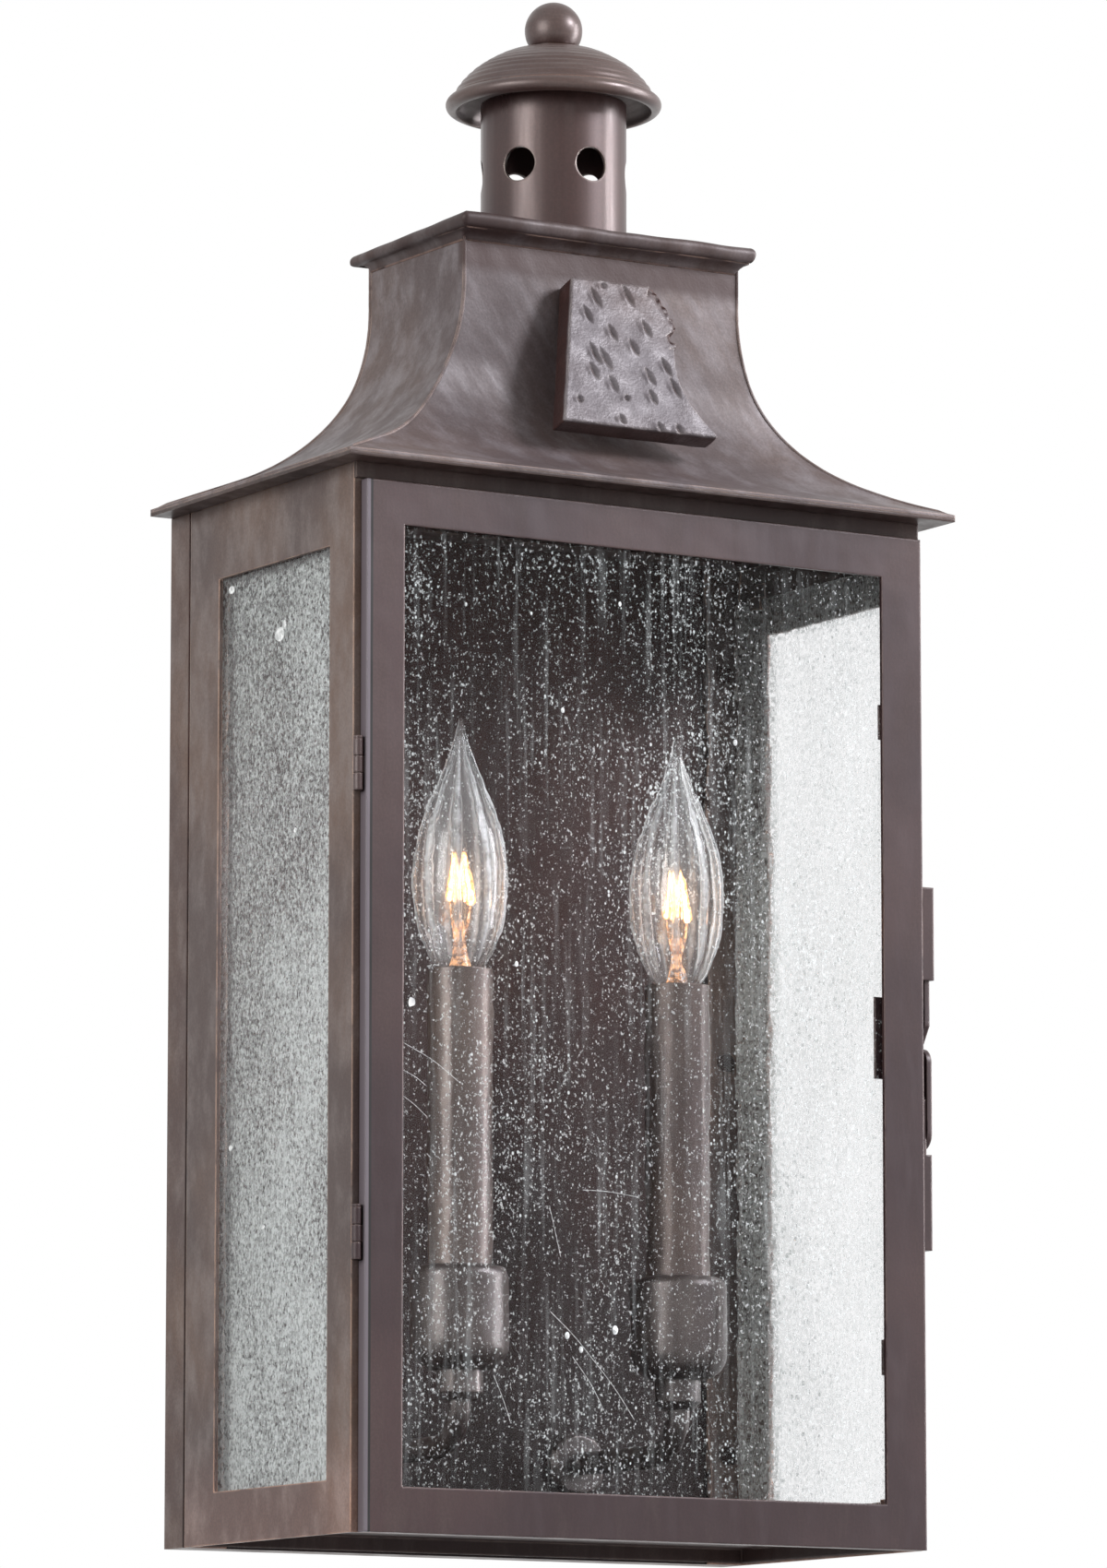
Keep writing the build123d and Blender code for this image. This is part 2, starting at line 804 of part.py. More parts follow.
def latch_base():
    """The block on the side frame, with a thinner plate above it that backs the lever."""
    y = (pivot_y - latch_base_depth / 2, pivot_y + latch_base_depth / 2)
    low = floor + latch_base_bottom
    seat = low + latch_base_height
    plate_top = pivot_z + lever_width
    base = block((half_width, half_width + latch_block_thickness), y, (low, seat))
    base += block((half_width, half_width + latch_plate_thickness), y, (low, plate_top))
    return base - rod(rivet_radius, (half_width, pivot_y, pivot_z), (lever_outside, pivot_y, pivot_z))


def latch_lever():
    """A forged lever: a round foot about its rivet, and shoulders that curve in at the top."""
    half = lever_width / 2
    top = floor + lever_bottom + lever_height
    bar = Pos(pivot_y, (pivot_z + top) / 2) * Rectangle(lever_width, top - pivot_z)
    front_corner, back_corner = bar.vertices().group_by(Axis.Y)[-1].sort_by(Axis.X)
    bar = fillet(front_corner, lever_front_round)
    back_corner = bar.vertices().sort_by(Axis.X)[-2:].sort_by(Axis.Y)[-1]
    bar = fillet(back_corner, lever_back_round)
    face = bar + Pos(pivot_y, pivot_z) * Circle(half)
    return side_plate(face - Pos(pivot_y, pivot_z) * Circle(rivet_radius + touch_gap), (lever_inside, lever_outside))


def latch_rivet():
    """The lever's pivot, riveted into the base plate."""
    head_x = lever_outside + lever_gap
    shank = rod(rivet_radius, (half_width, pivot_y, pivot_z), (head_x, pivot_y, pivot_z))
    return shank + rivet_head(head_x, pivot_y, pivot_z)


# Side glass


def side_glass():
    """The right side pane, on the inside of its frame."""
    return block(
        (inner_x - glass_thickness, inner_x - touch_gap),
        (return_back + side_glass_gap, flange_front - side_glass_gap),
        (floor + side_glass_bottom, soffit_z - side_glass_drop),
    )


def side_clip(y, edge, outward):
    """A clip on the right side frame over the pane's upper or lower edge."""
    near = edge + outward * moving_gap
    far = near + outward * clip_sheet
    inside = inner_x - glass_thickness - touch_gap
    along = (y - side_clip_length / 2, y + side_clip_length / 2)
    foot = block((inner_x - clip_sheet, inner_x), along, (near, near + outward * clip_foot))
    riser = block((inside - clip_sheet, inner_x), along, (near, far))
    lip = block((inside - clip_sheet, inside), along, (edge - outward * clip_lap, far))
    return foot + riser + lip


def side_clips():
    clips = []
    for y in (return_back + side_clip_inset, flange_front - side_clip_inset):
        clips += both_sides(side_clip(y, floor + side_glass_bottom, -1))
        clips += both_sides(side_clip(y, soffit_z - side_glass_drop, 1))
    return clips


# Candle lamps, drawn for the right side and mirrored


def at_candle(z):
    return (candle_x, candle_y, z)


def candle_arm():
    """A J of tube from the pan out to the candle and up into the coupling."""
    start = (candle_x, web_back + arm_nut_thickness + arm_thread_past, arm_z)
    path = FilletPolyline(start, at_candle(arm_z), at_candle(nipple_z), radius=arm_bend)
    section = Plane(origin=start, z_dir=(0, -1, 0))
    return sweep(section * Circle(arm_radius), path) - sweep(section * Circle(arm_bore), path)


def arm_flange():
    """The round plate where the arm leaves the pan."""
    front = web_y - flange_thickness
    disc = rod(flange_radius, (candle_x, web_y, arm_z), (candle_x, front, arm_z))
    disc = chamfer(disc.faces().sort_by(Axis.Y)[0].edges(), flange_thickness / 2)
    return disc - rod(arm_radius + touch_gap, (candle_x, web_y, arm_z), (candle_x, front, arm_z))


def arm_nut():
    end = web_back + arm_nut_thickness
    return hex_nut(arm_nut_flats, arm_radius, (candle_x, web_back, arm_z), (candle_x, end, arm_z))


def coupling():
    """Joins the arm to the nipple under the cup."""
    points = [
        (arm_radius, coupling_z),
        (coupling_radius - coupling_taper, coupling_z),
        (coupling_radius, coupling_z + coupling_taper),
        (coupling_radius, cup_z),
        (nipple_radius, cup_z),
        (nipple_radius, nipple_z),
        (arm_radius, nipple_z),
    ]
    return turned(points, candle_x, candle_y)


def cup_shell(inset):
    """The cup's filled shape, moved in by an inset on every side."""
    low = cup_z + inset
    high = cup_z + cup_height - inset
    shape = rod(cup_radius - inset, at_candle(low), at_candle(high))
    foot = shape.edges().filter_by(GeomType.CIRCLE).sort_by(Axis.Z)[0]
    shape = fillet(foot, cup_radius - cup_floor_radius - inset)
    rim = shape.edges().filter_by(GeomType.CIRCLE).sort_by(Axis.Z)[-1]
    return fillet(rim, cup_shoulder - inset)


def cup():
    """A spun cup, rounded at the foot and drawn in at the top towards the sleeve."""
    top = cup_z + cup_height
    shell = cup_shell(0) - cup_shell(sheet)
    shell -= rod(sleeve_radius + touch_gap, at_candle(top - 2 * sheet), at_candle(top))
    return shell - rod(nipple_radius, at_candle(cup_z), at_candle(cup_z + sheet))


def sleeve():
    """The candle tube. Its foot stands on the cup's curve, just above the flat floor."""
    curve = cup_radius - cup_floor_radius - sheet
    rise = curve - math.sqrt(curve**2 - (sleeve_radius - cup_floor_radius) ** 2)
    low = cup_z + sheet + rise
    return ring(sleeve_radius, sleeve_radius - sleeve_wall, at_candle(low), at_candle(floor + sleeve_top))


def nipple():
    """The threaded tube that carries the cup and the socket."""
    return ring(nipple_radius, nipple_bore, at_candle(nipple_z), at_candle(nipple_top))


def cup_nut():
    """The nut in the cup, as large as the cup's flat floor."""
    low = cup_z + sheet
    flats = 2 * (cup_floor_radius - touch_gap) * math.cos(math.pi / 6)
    return hex_nut(flats, nipple_radius, at_candle(low), at_candle(low + nut_thickness))


def cavity_radius():
    return lamp_base_radius + base_clearance + shell_wall


def socket():
    """A moulded candle socket on the nipple, inside the sleeve."""
    wide = cavity_radius()
    floor_under = cavity_z - socket_floor
    points = [
        (nipple_radius, nipple_top - socket_skirt),
        (socket_radius, nipple_top - socket_skirt),
        (socket_radius, bulb_z - sleeve_wall),
        (socket_radius - sleeve_wall, bulb_z),
        (wide, bulb_z),
        (wide, cavity_z),
        (0, cavity_z),
        (0, floor_under),
        (nipple_bore, floor_under),
        (nipple_bore, nipple_top),
        (nipple_radius, nipple_top),
    ]
    return turned(points, candle_x, candle_y)


def screw_shell():
    wide = cavity_radius()
    return ring(wide, wide - shell_wall, at_candle(cavity_z), at_candle(bulb_z - shell_wall))


def centre_contact():
    return rod(lamp_base_tip, at_candle(cavity_z), at_candle(bulb_z - lamp_base_height - lamp_base_tip / 2))


def lamp_base():
    """The bulb's screw base: a tapered tip, threads as rings, and a plain collar."""
    r = lamp_base_radius
    low = bulb_z - lamp_base_height
    points = [
        (0, low - lamp_base_tip / 2),
        (lamp_base_tip, low - lamp_base_tip / 2),
        (r - lamp_base_tip, low + thread_depth),
        (r - thread_depth, low + thread_pitch),
    ]
    for n in range(1, 6):
        crest = low + n * thread_pitch + thread_pitch / 2
        points += [(r, crest), (r - thread_depth, crest + thread_pitch / 2)]
    points += [(r, points[-1][1] + thread_depth), (r, bulb_z), (0, bulb_z)]
    return turned(points, candle_x, candle_y)


def bulb_glass():
    """A clear flame shaped envelope, drawn to a point at the tip and open at the neck."""
    # Shares of the height and of the largest radius, from the neck to near the tip
    shares = [(0, 0.4), (0.1, 0.72), (0.22, 0.93), (0.38, 1), (0.54, 0.89), (0.68, 0.62), (0.82, 0.3), (0.92, 0.13)]
    outer = [(bulb_radius * wide, bulb_z + bulb_height * up) for up, wide in shares]
    inner = [(out - bulb_wall, up) for out, up in outer[:-1]]
    tip = (0, bulb_z + bulb_height)
    inner_tip = (0, outer[-1][1])
    outline = Spline(*outer, tip) + Line(tip, inner_tip) + Spline(*inner, inner_tip) + Line(inner[0], outer[0])
    return Pos(candle_x, candle_y, 0) * revolve(make_face(Plane.XZ * outline), Axis.Z)


def filament():
    """The glass stem, two support wires and the hairpin filament between them."""
    foot = bulb_z + lamp_stem_height - lamp_stem_radius
    peak = bulb_z + filament_height
    shoulder = peak - 2 * filament_spread
    stem = turned(
        [(0, bulb_z), (lamp_stem_radius, bulb_z), (lamp_stem_radius / 2, foot), (0, foot)], candle_x, candle_y
    )
    left = candle_x - filament_spread
    right = candle_x + filament_spread
    wire_foot = foot - lamp_stem_radius
    hairpin = FilletPolyline(
        (left, candle_y, wire_foot),
        (left, candle_y, shoulder),
        (candle_x, candle_y, peak),
        (right, candle_y, shoulder),
        (right, candle_y, wire_foot),
        radius=filament_wire * 2.5,
    )
    wire = sweep(Plane(origin=(left, candle_y, wire_foot), z_dir=(0, 0, 1)) * Circle(filament_wire), hairpin)
    return stem + wire + rod(filament_wire, (left, candle_y, wire_foot), (right, candle_y, wire_foot))


# Wiring inside the body


def lead(side, spread):
    """One insulated lead from the socket, through nipple and arm, up the pan to its connector."""
    x = side * candle_x + spread
    end = side * connector_place + spread
    start = (x, candle_y, cavity_z - socket_floor)
    run = FilletPolyline(
        start,
        (x, candle_y, arm_z),
        (x, -lead_plane, arm_z),
        (x, -lead_plane, floor + lead_rise),
        (end, -lead_plane, connector_z - 2 * lead_sweep_bend),
        (end, -lead_plane, connector_z + connector_mouth),
        radius=(arm_bend, lead_bend, lead_sweep_bend, lead_sweep_bend),
    )
    solid = sweep(Plane(origin=start, z_dir=(0, 0, -1)) * Circle(lead_radius), run)
    share = solid.volume / (math.pi * lead_radius**2 * run.length)
    print(f"lead at x {x:.2f}: length {run.length:.1f}, volume over section times length {share:.4f}")
    return solid


def connector(side):
    """A twist-on cap over the two leads that come from one lamp."""
    r = connector_radius
    points = [(0, 0), (r, 0), (r, r), (r / 2, connector_length), (0, connector_length)]
    cap = Pos(side * connector_place, -lead_plane, connector_z) * turned(points)
    for spread in (-lead_offset, lead_offset):
        x = side * connector_place + spread
        cap -= rod(lead_radius, (x, -lead_plane, connector_z), (x, -lead_plane, connector_z + connector_mouth))
    return cap


os.makedirs("parts", exist_ok=True)
print(f"lead bends: radii {arm_bend}, {lead_bend}, {lead_sweep_bend}, {lead_sweep_bend}")

save("wall_pan", wall_pan())
save("pan_rivets", [pan_rivet(x, z) for x, z in pan_rivet_places()])
save("mounting_crossbar", crossbar())
save("mounting_screws", [mounting_screw(z) for z in mounting_screw_heights()])
save("cap_nuts", [cap_nut(z) for z in mounting_screw_heights()])
save("ground_screw", ground_screw())

save("header_rail", header_rail())
save("sill_rail", sill_rail())
save("bottom_plate", bottom_plate())
save("side_glass_clips", side_clips())

save("soffit_plate", soffit_plate())
for place, panel in roof_panels().items():
    save(f"roof_{place}_panel", panel)
save("roof_cap_plate", roof_cap())
save("chimney_tube", chimney())
save("chimney_bridge", bridge())
save("dome_cap", dome())
save("finial", finial())
save("finial_spacer", finial_spacer())
save("finial_nut", finial_nut())

save("hammered_plate", hammered_plate())
save("plate_studs", [plate_stud(x, z) for x, z in plate_stud_places()])
save("plate_nuts", [nut for x, z in plate_stud_places() for nut in plate_nuts(x, z)])

save("door_frame", door_frame())
save("door_glass", door_glass())
save("door_glass_clips", door_clips())
save("hinge_door_leaves", [door_leaf(middle) for middle in hinge_middles()])
save("hinge_body_leaves", [body_leaf(middle) for middle in hinge_middles()])
save("hinge_pins", [hinge_pin(middle) for middle in hinge_middles()])

save("door_latch_strap", latch_strap())
strap_middle = floor + strap_bottom + strap_height / 2
save("latch_strap_rivet", rivet_head(ear_outside, front_y + strap_depth / 2, strap_middle))
save("latch_base", latch_base())
save("latch_lever", latch_lever())
save("latch_pivot_rivet", latch_rivet())

# Pieces that come in a right and a left copy, each a node of its own
sided = {
    "side_frame": side_frame,
    "side_glass": side_glass,
    "candle_arm": candle_arm,
    "candle_sleeve": sleeve,
    "bulb_glass": bulb_glass,
}
for name, make in sided.items():
    for side, piece in zip(("right", "left"), both_sides(make())):
        save(f"{side}_{name}", piece)

# Small pieces of the two lamps, the right and the left copy in one node
paired = {
    "arm_wall_flanges": arm_flange,
    "arm_lock_nuts": arm_nut,
    "arm_couplings": coupling,
    "candle_cups": cup,
    "candle_nipples": nipple,
    "cup_lock_nuts": cup_nut,
    "lamp_sockets": socket,
    "bulb_bases": lamp_base,
    "bulb_filaments": filament,
}
for name, make in paired.items():
    save(name, both_sides(make()))
save("socket_contacts", both_sides(screw_shell()) + both_sides(centre_contact()))

save("lamp_leads", [lead(side, spread) for side in (-1, 1) for spread in (-lead_offset, lead_offset)])
save("wire_connectors", [connector(side) for side in (-1, 1)])
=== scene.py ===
# %% [markdown]
# # A wall lantern, dressed for its portrait
# The lantern's metalwork, glass and lamps come in from the CAD model with their real sizes.
# This lesson gives every surface its finish, and swaps the plain CAD solids for detailed
# surfaces where the real object shows more: the forged plate, the spun dome, the rolled cap,
# the soldered hips and the fluted bulbs.
# All lengths are metres. The wall is the plane Y = 0, the door faces -Y and +Z is up.

import bpy
import numpy as np
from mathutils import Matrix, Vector


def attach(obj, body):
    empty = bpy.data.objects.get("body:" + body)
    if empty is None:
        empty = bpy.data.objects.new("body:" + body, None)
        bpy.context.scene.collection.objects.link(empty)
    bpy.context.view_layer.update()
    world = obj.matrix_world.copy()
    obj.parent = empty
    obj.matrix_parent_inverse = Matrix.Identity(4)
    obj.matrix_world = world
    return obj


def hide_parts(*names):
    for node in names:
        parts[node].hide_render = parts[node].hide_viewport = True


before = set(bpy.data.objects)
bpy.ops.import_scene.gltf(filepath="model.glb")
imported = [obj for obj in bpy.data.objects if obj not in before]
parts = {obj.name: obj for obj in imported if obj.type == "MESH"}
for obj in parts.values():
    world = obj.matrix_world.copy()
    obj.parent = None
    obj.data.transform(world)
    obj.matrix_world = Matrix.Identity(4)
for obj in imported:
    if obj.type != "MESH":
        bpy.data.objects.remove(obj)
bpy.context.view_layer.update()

# %% [markdown]
# ## Camera
# The photograph looks slightly up at the lantern from the left, from far away with a long lens.
# A camera can be placed with constraints or by eye, but a direction given by two angles is
# easy to read: yaw turns it from +Y towards +X, and pitch lifts it.

# %% Camera
camera_place = (-1.42715, -2.38681, -0.335)
yaw, pitch = np.radians(31.616), np.radians(8.483)
camera = bpy.data.objects.new("camera", bpy.data.cameras.new("camera"))
bpy.context.scene.collection.objects.link(camera)
camera.location = camera_place
camera.rotation_euler = (np.pi / 2 + pitch, 0.0, -yaw)
camera.data.lens = 184.74
camera.data.clip_end = 50.0
bpy.context.scene.camera = camera
bpy.context.scene.view_settings.view_transform = "Standard"
print("camera", camera_place, "lens", camera.data.lens)

# %% [markdown]
# ## Helpers for shader nodes
# A node tree is built by adding nodes and joining sockets. One small function can do both:
# whatever is handed to a socket is either a plain value or another node's output.

# %% Shader helpers
def fill(tree, made, sockets):
    """Sets or links each named socket of a node."""
    for name, value in sockets.items():
        if isinstance(value, bpy.types.NodeSocket):
            tree.links.new(value, made.inputs[name])
        else:
            made.inputs[name].default_value = value
    return made


def add(tree, kind, sockets=None, **settings):
    """Adds a shader node. Sockets maps a name or number to a value, or to an output to link."""
    made = tree.nodes.new("ShaderNode" + kind)
    for name, value in settings.items():
        setattr(made, name, value)
    return fill(tree, made, sockets or {})


def mix_colour(tree, factor, first, second):
    """The colour between first and second, by factor."""
    return add(tree, "Mix", {0: factor, 6: first, 7: second}, data_type="RGBA").outputs[2]


def maths(tree, operation, *values):
    """One step of arithmetic on plain numbers or outputs."""
    return add(tree, "Math", dict(enumerate(values)), operation=operation).outputs[0]


def between(tree, value, low, high, start=0.0, end=1.0):
    """Goes smoothly from start to end while value goes from low to high."""
    sockets = {"Value": value, "From Min": low, "From Max": high, "To Min": start, "To Max": end}
    return add(tree, "MapRange", sockets, interpolation_type="SMOOTHSTEP").outputs["Result"]


def times(tree, first, second):
    """Coordinates or colours multiplied, part by part."""
    return add(tree, "VectorMath", {0: first, 1: second}, operation="MULTIPLY").outputs[0]


def noise(tree, vector, scale, detail=3.0, roughness=0.55):
    """Soft random patches, from 0 to 1, about 1 / scale across."""
    sockets = {"Vector": vector, "Scale": scale, "Detail": detail, "Roughness": roughness}
    return add(tree, "TexNoise", sockets).outputs["Fac"]


def object_place(tree):
    """Coordinates in metres, the same for every piece."""
    return add(tree, "TexCoord").outputs["Object"]


def place_along(tree, axis):
    """The coordinate in metres along X, Y or Z."""
    return add(tree, "SeparateXYZ", {0: object_place(tree)}).outputs[axis]


def new_group(name, inputs, outputs):
    """An empty shader group. Each input is (name, type, starting value)."""
    group = bpy.data.node_groups.new(name, "ShaderNodeTree")
    for label, kind, value in inputs:
        made = group.interface.new_socket(label, in_out="INPUT", socket_type="NodeSocket" + kind)
        made.default_value = value
    for label, kind in outputs:
        group.interface.new_socket(label, in_out="OUTPUT", socket_type="NodeSocket" + kind)
    return group, group.nodes.new("NodeGroupInput").outputs, group.nodes.new("NodeGroupOutput").inputs


def place_group(tree, group, values):
    """Puts a group into a material with its own values, and returns its outputs."""
    made = tree.nodes.new("ShaderNodeGroup")
    made.node_tree = group
    return fill(tree, made, values).outputs


def new_material(name):
    """A material with an empty tree, and that tree."""
    material = bpy.data.materials.new(name)
    material.use_nodes = True
    material.node_tree.nodes.clear()
    return material, material.node_tree


def show(tree, shader):
    """Joins a shader to the material's output."""
    tree.links.new(shader.outputs[0], tree.nodes.new("ShaderNodeOutputMaterial").inputs[0])


# %% [markdown]
# ## Studio
# The photograph has a pure white surround. The world is white where the camera, a gloss or
# the glass looks at it, and a plain soft white as a light: Light Path tells these apart.
# The floor lies well below the lantern, which hangs on a wall, and keeps its soft shadow.

# %% World and floor
world = bpy.data.worlds.new("white_studio")
bpy.context.scene.world = world
world.use_nodes = True
sky = world.node_tree
sky.nodes.clear()
looks = add(sky, "LightPath").outputs
seen = maths(sky, "MAXIMUM", looks["Is Camera Ray"], looks["Is Glossy Ray"])
seen = maths(sky, "MAXIMUM", seen, looks["Is Transmission Ray"])
as_light = 0.38
strength = between(sky, seen, 0.0, 1.0, as_light, 1.0)
backdrop = add(sky, "Background", {"Color": (1, 1, 1, 1), "Strength": strength})
sky.links.new(backdrop.outputs[0], sky.nodes.new("ShaderNodeOutputWorld").inputs[0])

floor_z = -1.9
floor_corners = [(x, y, floor_z) for x, y in ((-3, -3.2), (3, -3.2), (3, 2.8), (-3, 2.8))]
floor_mesh = bpy.data.meshes.new("floor")
floor_mesh.from_pydata(floor_corners, [], [(0, 1, 2, 3)])
floor = bpy.data.objects.new("floor", floor_mesh)
bpy.context.scene.collection.objects.link(floor)
floor_paint, tree = new_material("pale_floor")
tone = mix_colour(tree, noise(tree, object_place(tree), 3.0), (0.80, 0.80, 0.81, 1), (0.84, 0.84, 0.85, 1))
show(tree, add(tree, "BsdfPrincipled", {"Base Color": tone, "Roughness": 0.9}))
floor_mesh.materials.append(floor_paint)
print("floor at", floor_z, "m, world light", as_light)

# %% [markdown]
# ## Lamps
# The forged plate throws its shadow to the left and a little down, and the chimney has a pale
# strip on its right side: the main lamp is a soft box at the right, in front and above, and a
# tall narrow one stands further round. A wide one at the left lights the side of the body.

# %% Lamps
middle = Vector((0.0, -0.07, 0.08))


def soft_box(name, round_angle, height_angle, distance, size, power, colour=(1.0, 1.0, 1.0)):
    """An area lamp that faces the lantern from two angles: round from -Y towards +X, and up."""
    lamp = bpy.data.lights.new(name, "AREA")
    lamp.shape = "RECTANGLE"
    lamp.size, lamp.size_y = size
    lamp.energy, lamp.color = power, colour
    made = bpy.data.objects.new(name, lamp)
    bpy.context.scene.collection.objects.link(made)
    turn, lift = np.radians(round_angle), np.radians(height_angle)
    way = Vector((np.sin(turn) * np.cos(lift), -np.cos(turn) * np.cos(lift), np.sin(lift)))
    made.location = middle + way * distance
    made.rotation_euler = way.to_track_quat("Z", "Y").to_euler()
    print(name, [round(v, 2) for v in made.location], power, "W")


soft_box("main_lamp", 43.0, 31.0, 2.4, (0.6, 0.6), 54.0, (0.94, 0.94, 1.0))
soft_box("strip_lamp", 70.0, 6.0, 1.8, (0.36, 1.3), 34.0, (0.98, 0.97, 1.0))
soft_box("left_lamp", -76.0, 14.0, 2.3, (1.3, 1.3), 38.0, (1.0, 0.98, 0.96))

# %% [markdown]
# ## Old bronze
# The metal is a dark brown patina that was rubbed back by hand: brown and violet clouds,
# brushed streaks, and paler edges, partly where the rubbing caught them and partly a painted
# highlight where the edges catch the light. Paint, photographs or noise could give that. Noise
# in object space needs no unwrapping and is the same from every side.
# As a group, the patina is built once, and every finish places it with its own tones.

# %% The patina group
patina, given, result = new_group(
    "bronze_patina",
    [
        ("Ground", "Color", (0.045, 0.022, 0.021, 1)),
        ("Warm", "Color", (0.085, 0.045, 0.030, 1)),
        ("Rubbed", "Color", (0.20, 0.165, 0.155, 1)),
        ("Warm Amount", "Float", 0.6),
        ("Rub Amount", "Float", 0.4),
        ("Brush", "Vector", (70.0, 70.0, 7.0)),
        ("Slant", "Float", 0.0),
        ("Dull", "Float", 0.0),
        ("Grain", "Float", 0.05),
    ],
    [("Color", "Color"), ("Roughness", "Float"), ("Height", "Float")],
)
place = object_place(patina)
leaning = add(patina, "VectorRotate", {"Vector": place, "Angle": given["Slant"]}, rotation_type="Y_AXIS")
leaning = leaning.outputs[0]
cloud = noise(patina, place, 13.0, 3.0, 0.5)
brushed = noise(patina, times(patina, leaning, given["Brush"]), 2.6, 5.0, 0.62)
grain = noise(patina, place, 1100.0, 2.0, 0.6)
warm = maths(patina, "MULTIPLY", between(patina, cloud, 0.38, 0.66), given["Warm Amount"])
rub = maths(patina, "MULTIPLY_ADD", cloud, 0.45, brushed)
rub = maths(patina, "MULTIPLY", between(patina, rub, 0.60, 0.98), given["Rub Amount"])
colour = mix_colour(patina, warm, given["Ground"], given["Warm"])
colour = mix_colour(patina, rub, colour, given["Rubbed"])
speck = between(patina, grain, 0.30, 0.75, 0.86, 1.12)
colour = add(patina, "VectorMath", {0: colour, 3: speck}, operation="SCALE").outputs[0]
patina.links.new(colour, result["Color"])
polish = between(patina, brushed, 0.25, 0.75, 0.44, 0.29)
patina.links.new(maths(patina, "ADD", polish, given["Dull"]), result["Roughness"])
dents = noise(patina, place, 42.0, 2.0)
height = maths(patina, "MULTIPLY_ADD", brushed, 0.16, dents)
patina.links.new(maths(patina, "MULTIPLY_ADD", grain, given["Grain"], height), result["Height"])
print("group", patina.name, [s.name for s in patina.interface.items_tree])

# %% [markdown]
# Real sheet has no knife edges. A Bevel node softens the corners where light falls, and the
# angle between the softened and the flat normal tells where an edge is, for the rim: a paler
# colour that is partly rubbed metal and partly a painted highlight along the edges.

# %% The edge group
edges, given, result = new_group(
    "edge_rub_and_highlight",
    [("Radius", "Float", 0.0009), ("Amount", "Float", 0.6)],
    [("Mask", "Float"), ("Normal", "Vector")],
)
soft = add(edges, "Bevel", {"Radius": given["Radius"]}, samples=4).outputs[0]
hard = add(edges, "NewGeometry").outputs["Normal"]
agree = add(edges, "VectorMath", {0: soft, 1: hard}, operation="DOT_PRODUCT").outputs["Value"]
edge = between(edges, maths(edges, "SUBTRACT", 1.0, agree), 0.02, 0.20)
broken = between(edges, noise(edges, object_place(edges), 120.0, 3.0), 0.28, 0.56)
edge = maths(edges, "MULTIPLY", maths(edges, "MULTIPLY", edge, broken), given["Amount"])
edges.links.new(edge, result["Mask"])
edges.links.new(soft, result["Normal"])
print("group", edges.name, [s.name for s in edges.interface.items_tree])

# %% [markdown]
# ## Painted light and shade, and a paler foot
# Some places get their colour by position. Painted shade makes the pan darker and redder inside
# the lantern, darkest low down, and the forged plate dark on its sides and in its cuts. A
# painted shadow lies on the front sheet under the cap. Along its hinges the door has a painted
# highlight strip beside a painted shadow for the gap. The side frames are paler and warmer along
# the bottom. Painted maps could hold that. Small functions that change the colour by position
# need no unwrapping and stay in place on the real sizes.

# %% Colour by position
WHITE = (1, 1, 1, 1)
plate_lean = np.radians(18.2)


def pan_painted_shade(tree, colour):
    """Painted shade: the wall pan is darker and redder inside the lantern, most of all low down."""
    inside = between(tree, place_along(tree, "Y"), -0.0122, -0.0130)
    low_down = between(tree, place_along(tree, "Z"), 0.12, -0.15)
    dark = mix_colour(tree, low_down, (0.22, 0.11, 0.10, 1), (0.09, 0.040, 0.038, 1))
    return times(tree, colour, mix_colour(tree, inside, WHITE, dark))


def hinge_painted_light(tree, colour):
    """Along its hinge edge the door has a narrow painted highlight strip and, beside it, a painted shadow
    for the hinge gap.
    """
    across = place_along(tree, "X")
    edge = -0.1094
    # A painted highlight strip for the lit folded edge, then a painted shadow for the gap.
    strip = between(tree, across, edge + 0.0016, edge + 0.0012)
    painted_gap_shadow = maths(tree, "SUBTRACT", between(tree, across, edge + 0.0025, edge + 0.0021), strip)
    colour = mix_colour(tree, strip, colour, (0.13, 0.11, 0.125, 1))
    return mix_colour(tree, painted_gap_shadow, colour, (0.004, 0.003, 0.003, 1))


def plate_painted_shade(tree, colour):
    """Painted shade: the forged plate is dark on its sides and in its cuts. Its face is 177.5 mm from the
    origin along the plate's normal, and the painted shade begins a little below it."""
    normal = (0.0, -np.cos(plate_lean), np.sin(plate_lean))
    out = add(tree, "VectorMath", {0: object_place(tree), 1: normal}, operation="DOT_PRODUCT")
    face = between(tree, out.outputs["Value"], 0.1760, 0.1769)
    return times(tree, colour, mix_colour(tree, face, (0.26, 0.13, 0.11, 1), WHITE))


def cap_painted_shadow(tree, colour):
    """Painted shadow of the cap: the front sheet is dark under the cap, down to an uneven line."""
    drift = noise(tree, object_place(tree), 60.0, 3.0)
    high = maths(tree, "MULTIPLY_ADD", drift, 0.006, place_along(tree, "Z"))
    in_front = between(tree, place_along(tree, "Y"), -0.094, -0.098)
    dark = maths(tree, "MULTIPLY", between(tree, high, 0.2395, 0.2450), in_front)
    return mix_colour(tree, maths(tree, "MULTIPLY", dark, 0.92), colour, (0.030, 0.010, 0.008, 1))


def paler_warmer_foot(tree, colour):
    """The side frames turn paler and warmer towards their bottom rails."""
    low_down = between(tree, place_along(tree, "Z"), -0.150, -0.182)
    return times(tree, colour, mix_colour(tree, low_down, WHITE, (1.6, 1.42, 1.36, 1)))


# %% [markdown]
# ## The bronze recipe
# Every bronze is made the same way: the patina gives colour, gloss and height, the edge group
# lays its rim colour over it, rubbed metal with a painted highlight, and in some finishes a
# function then changes the colour by position, for painted light and shade and for a paler foot.
# Only the last step, the Principled shader, stands in the material itself.

# %% A bronze finish
finishes = {}


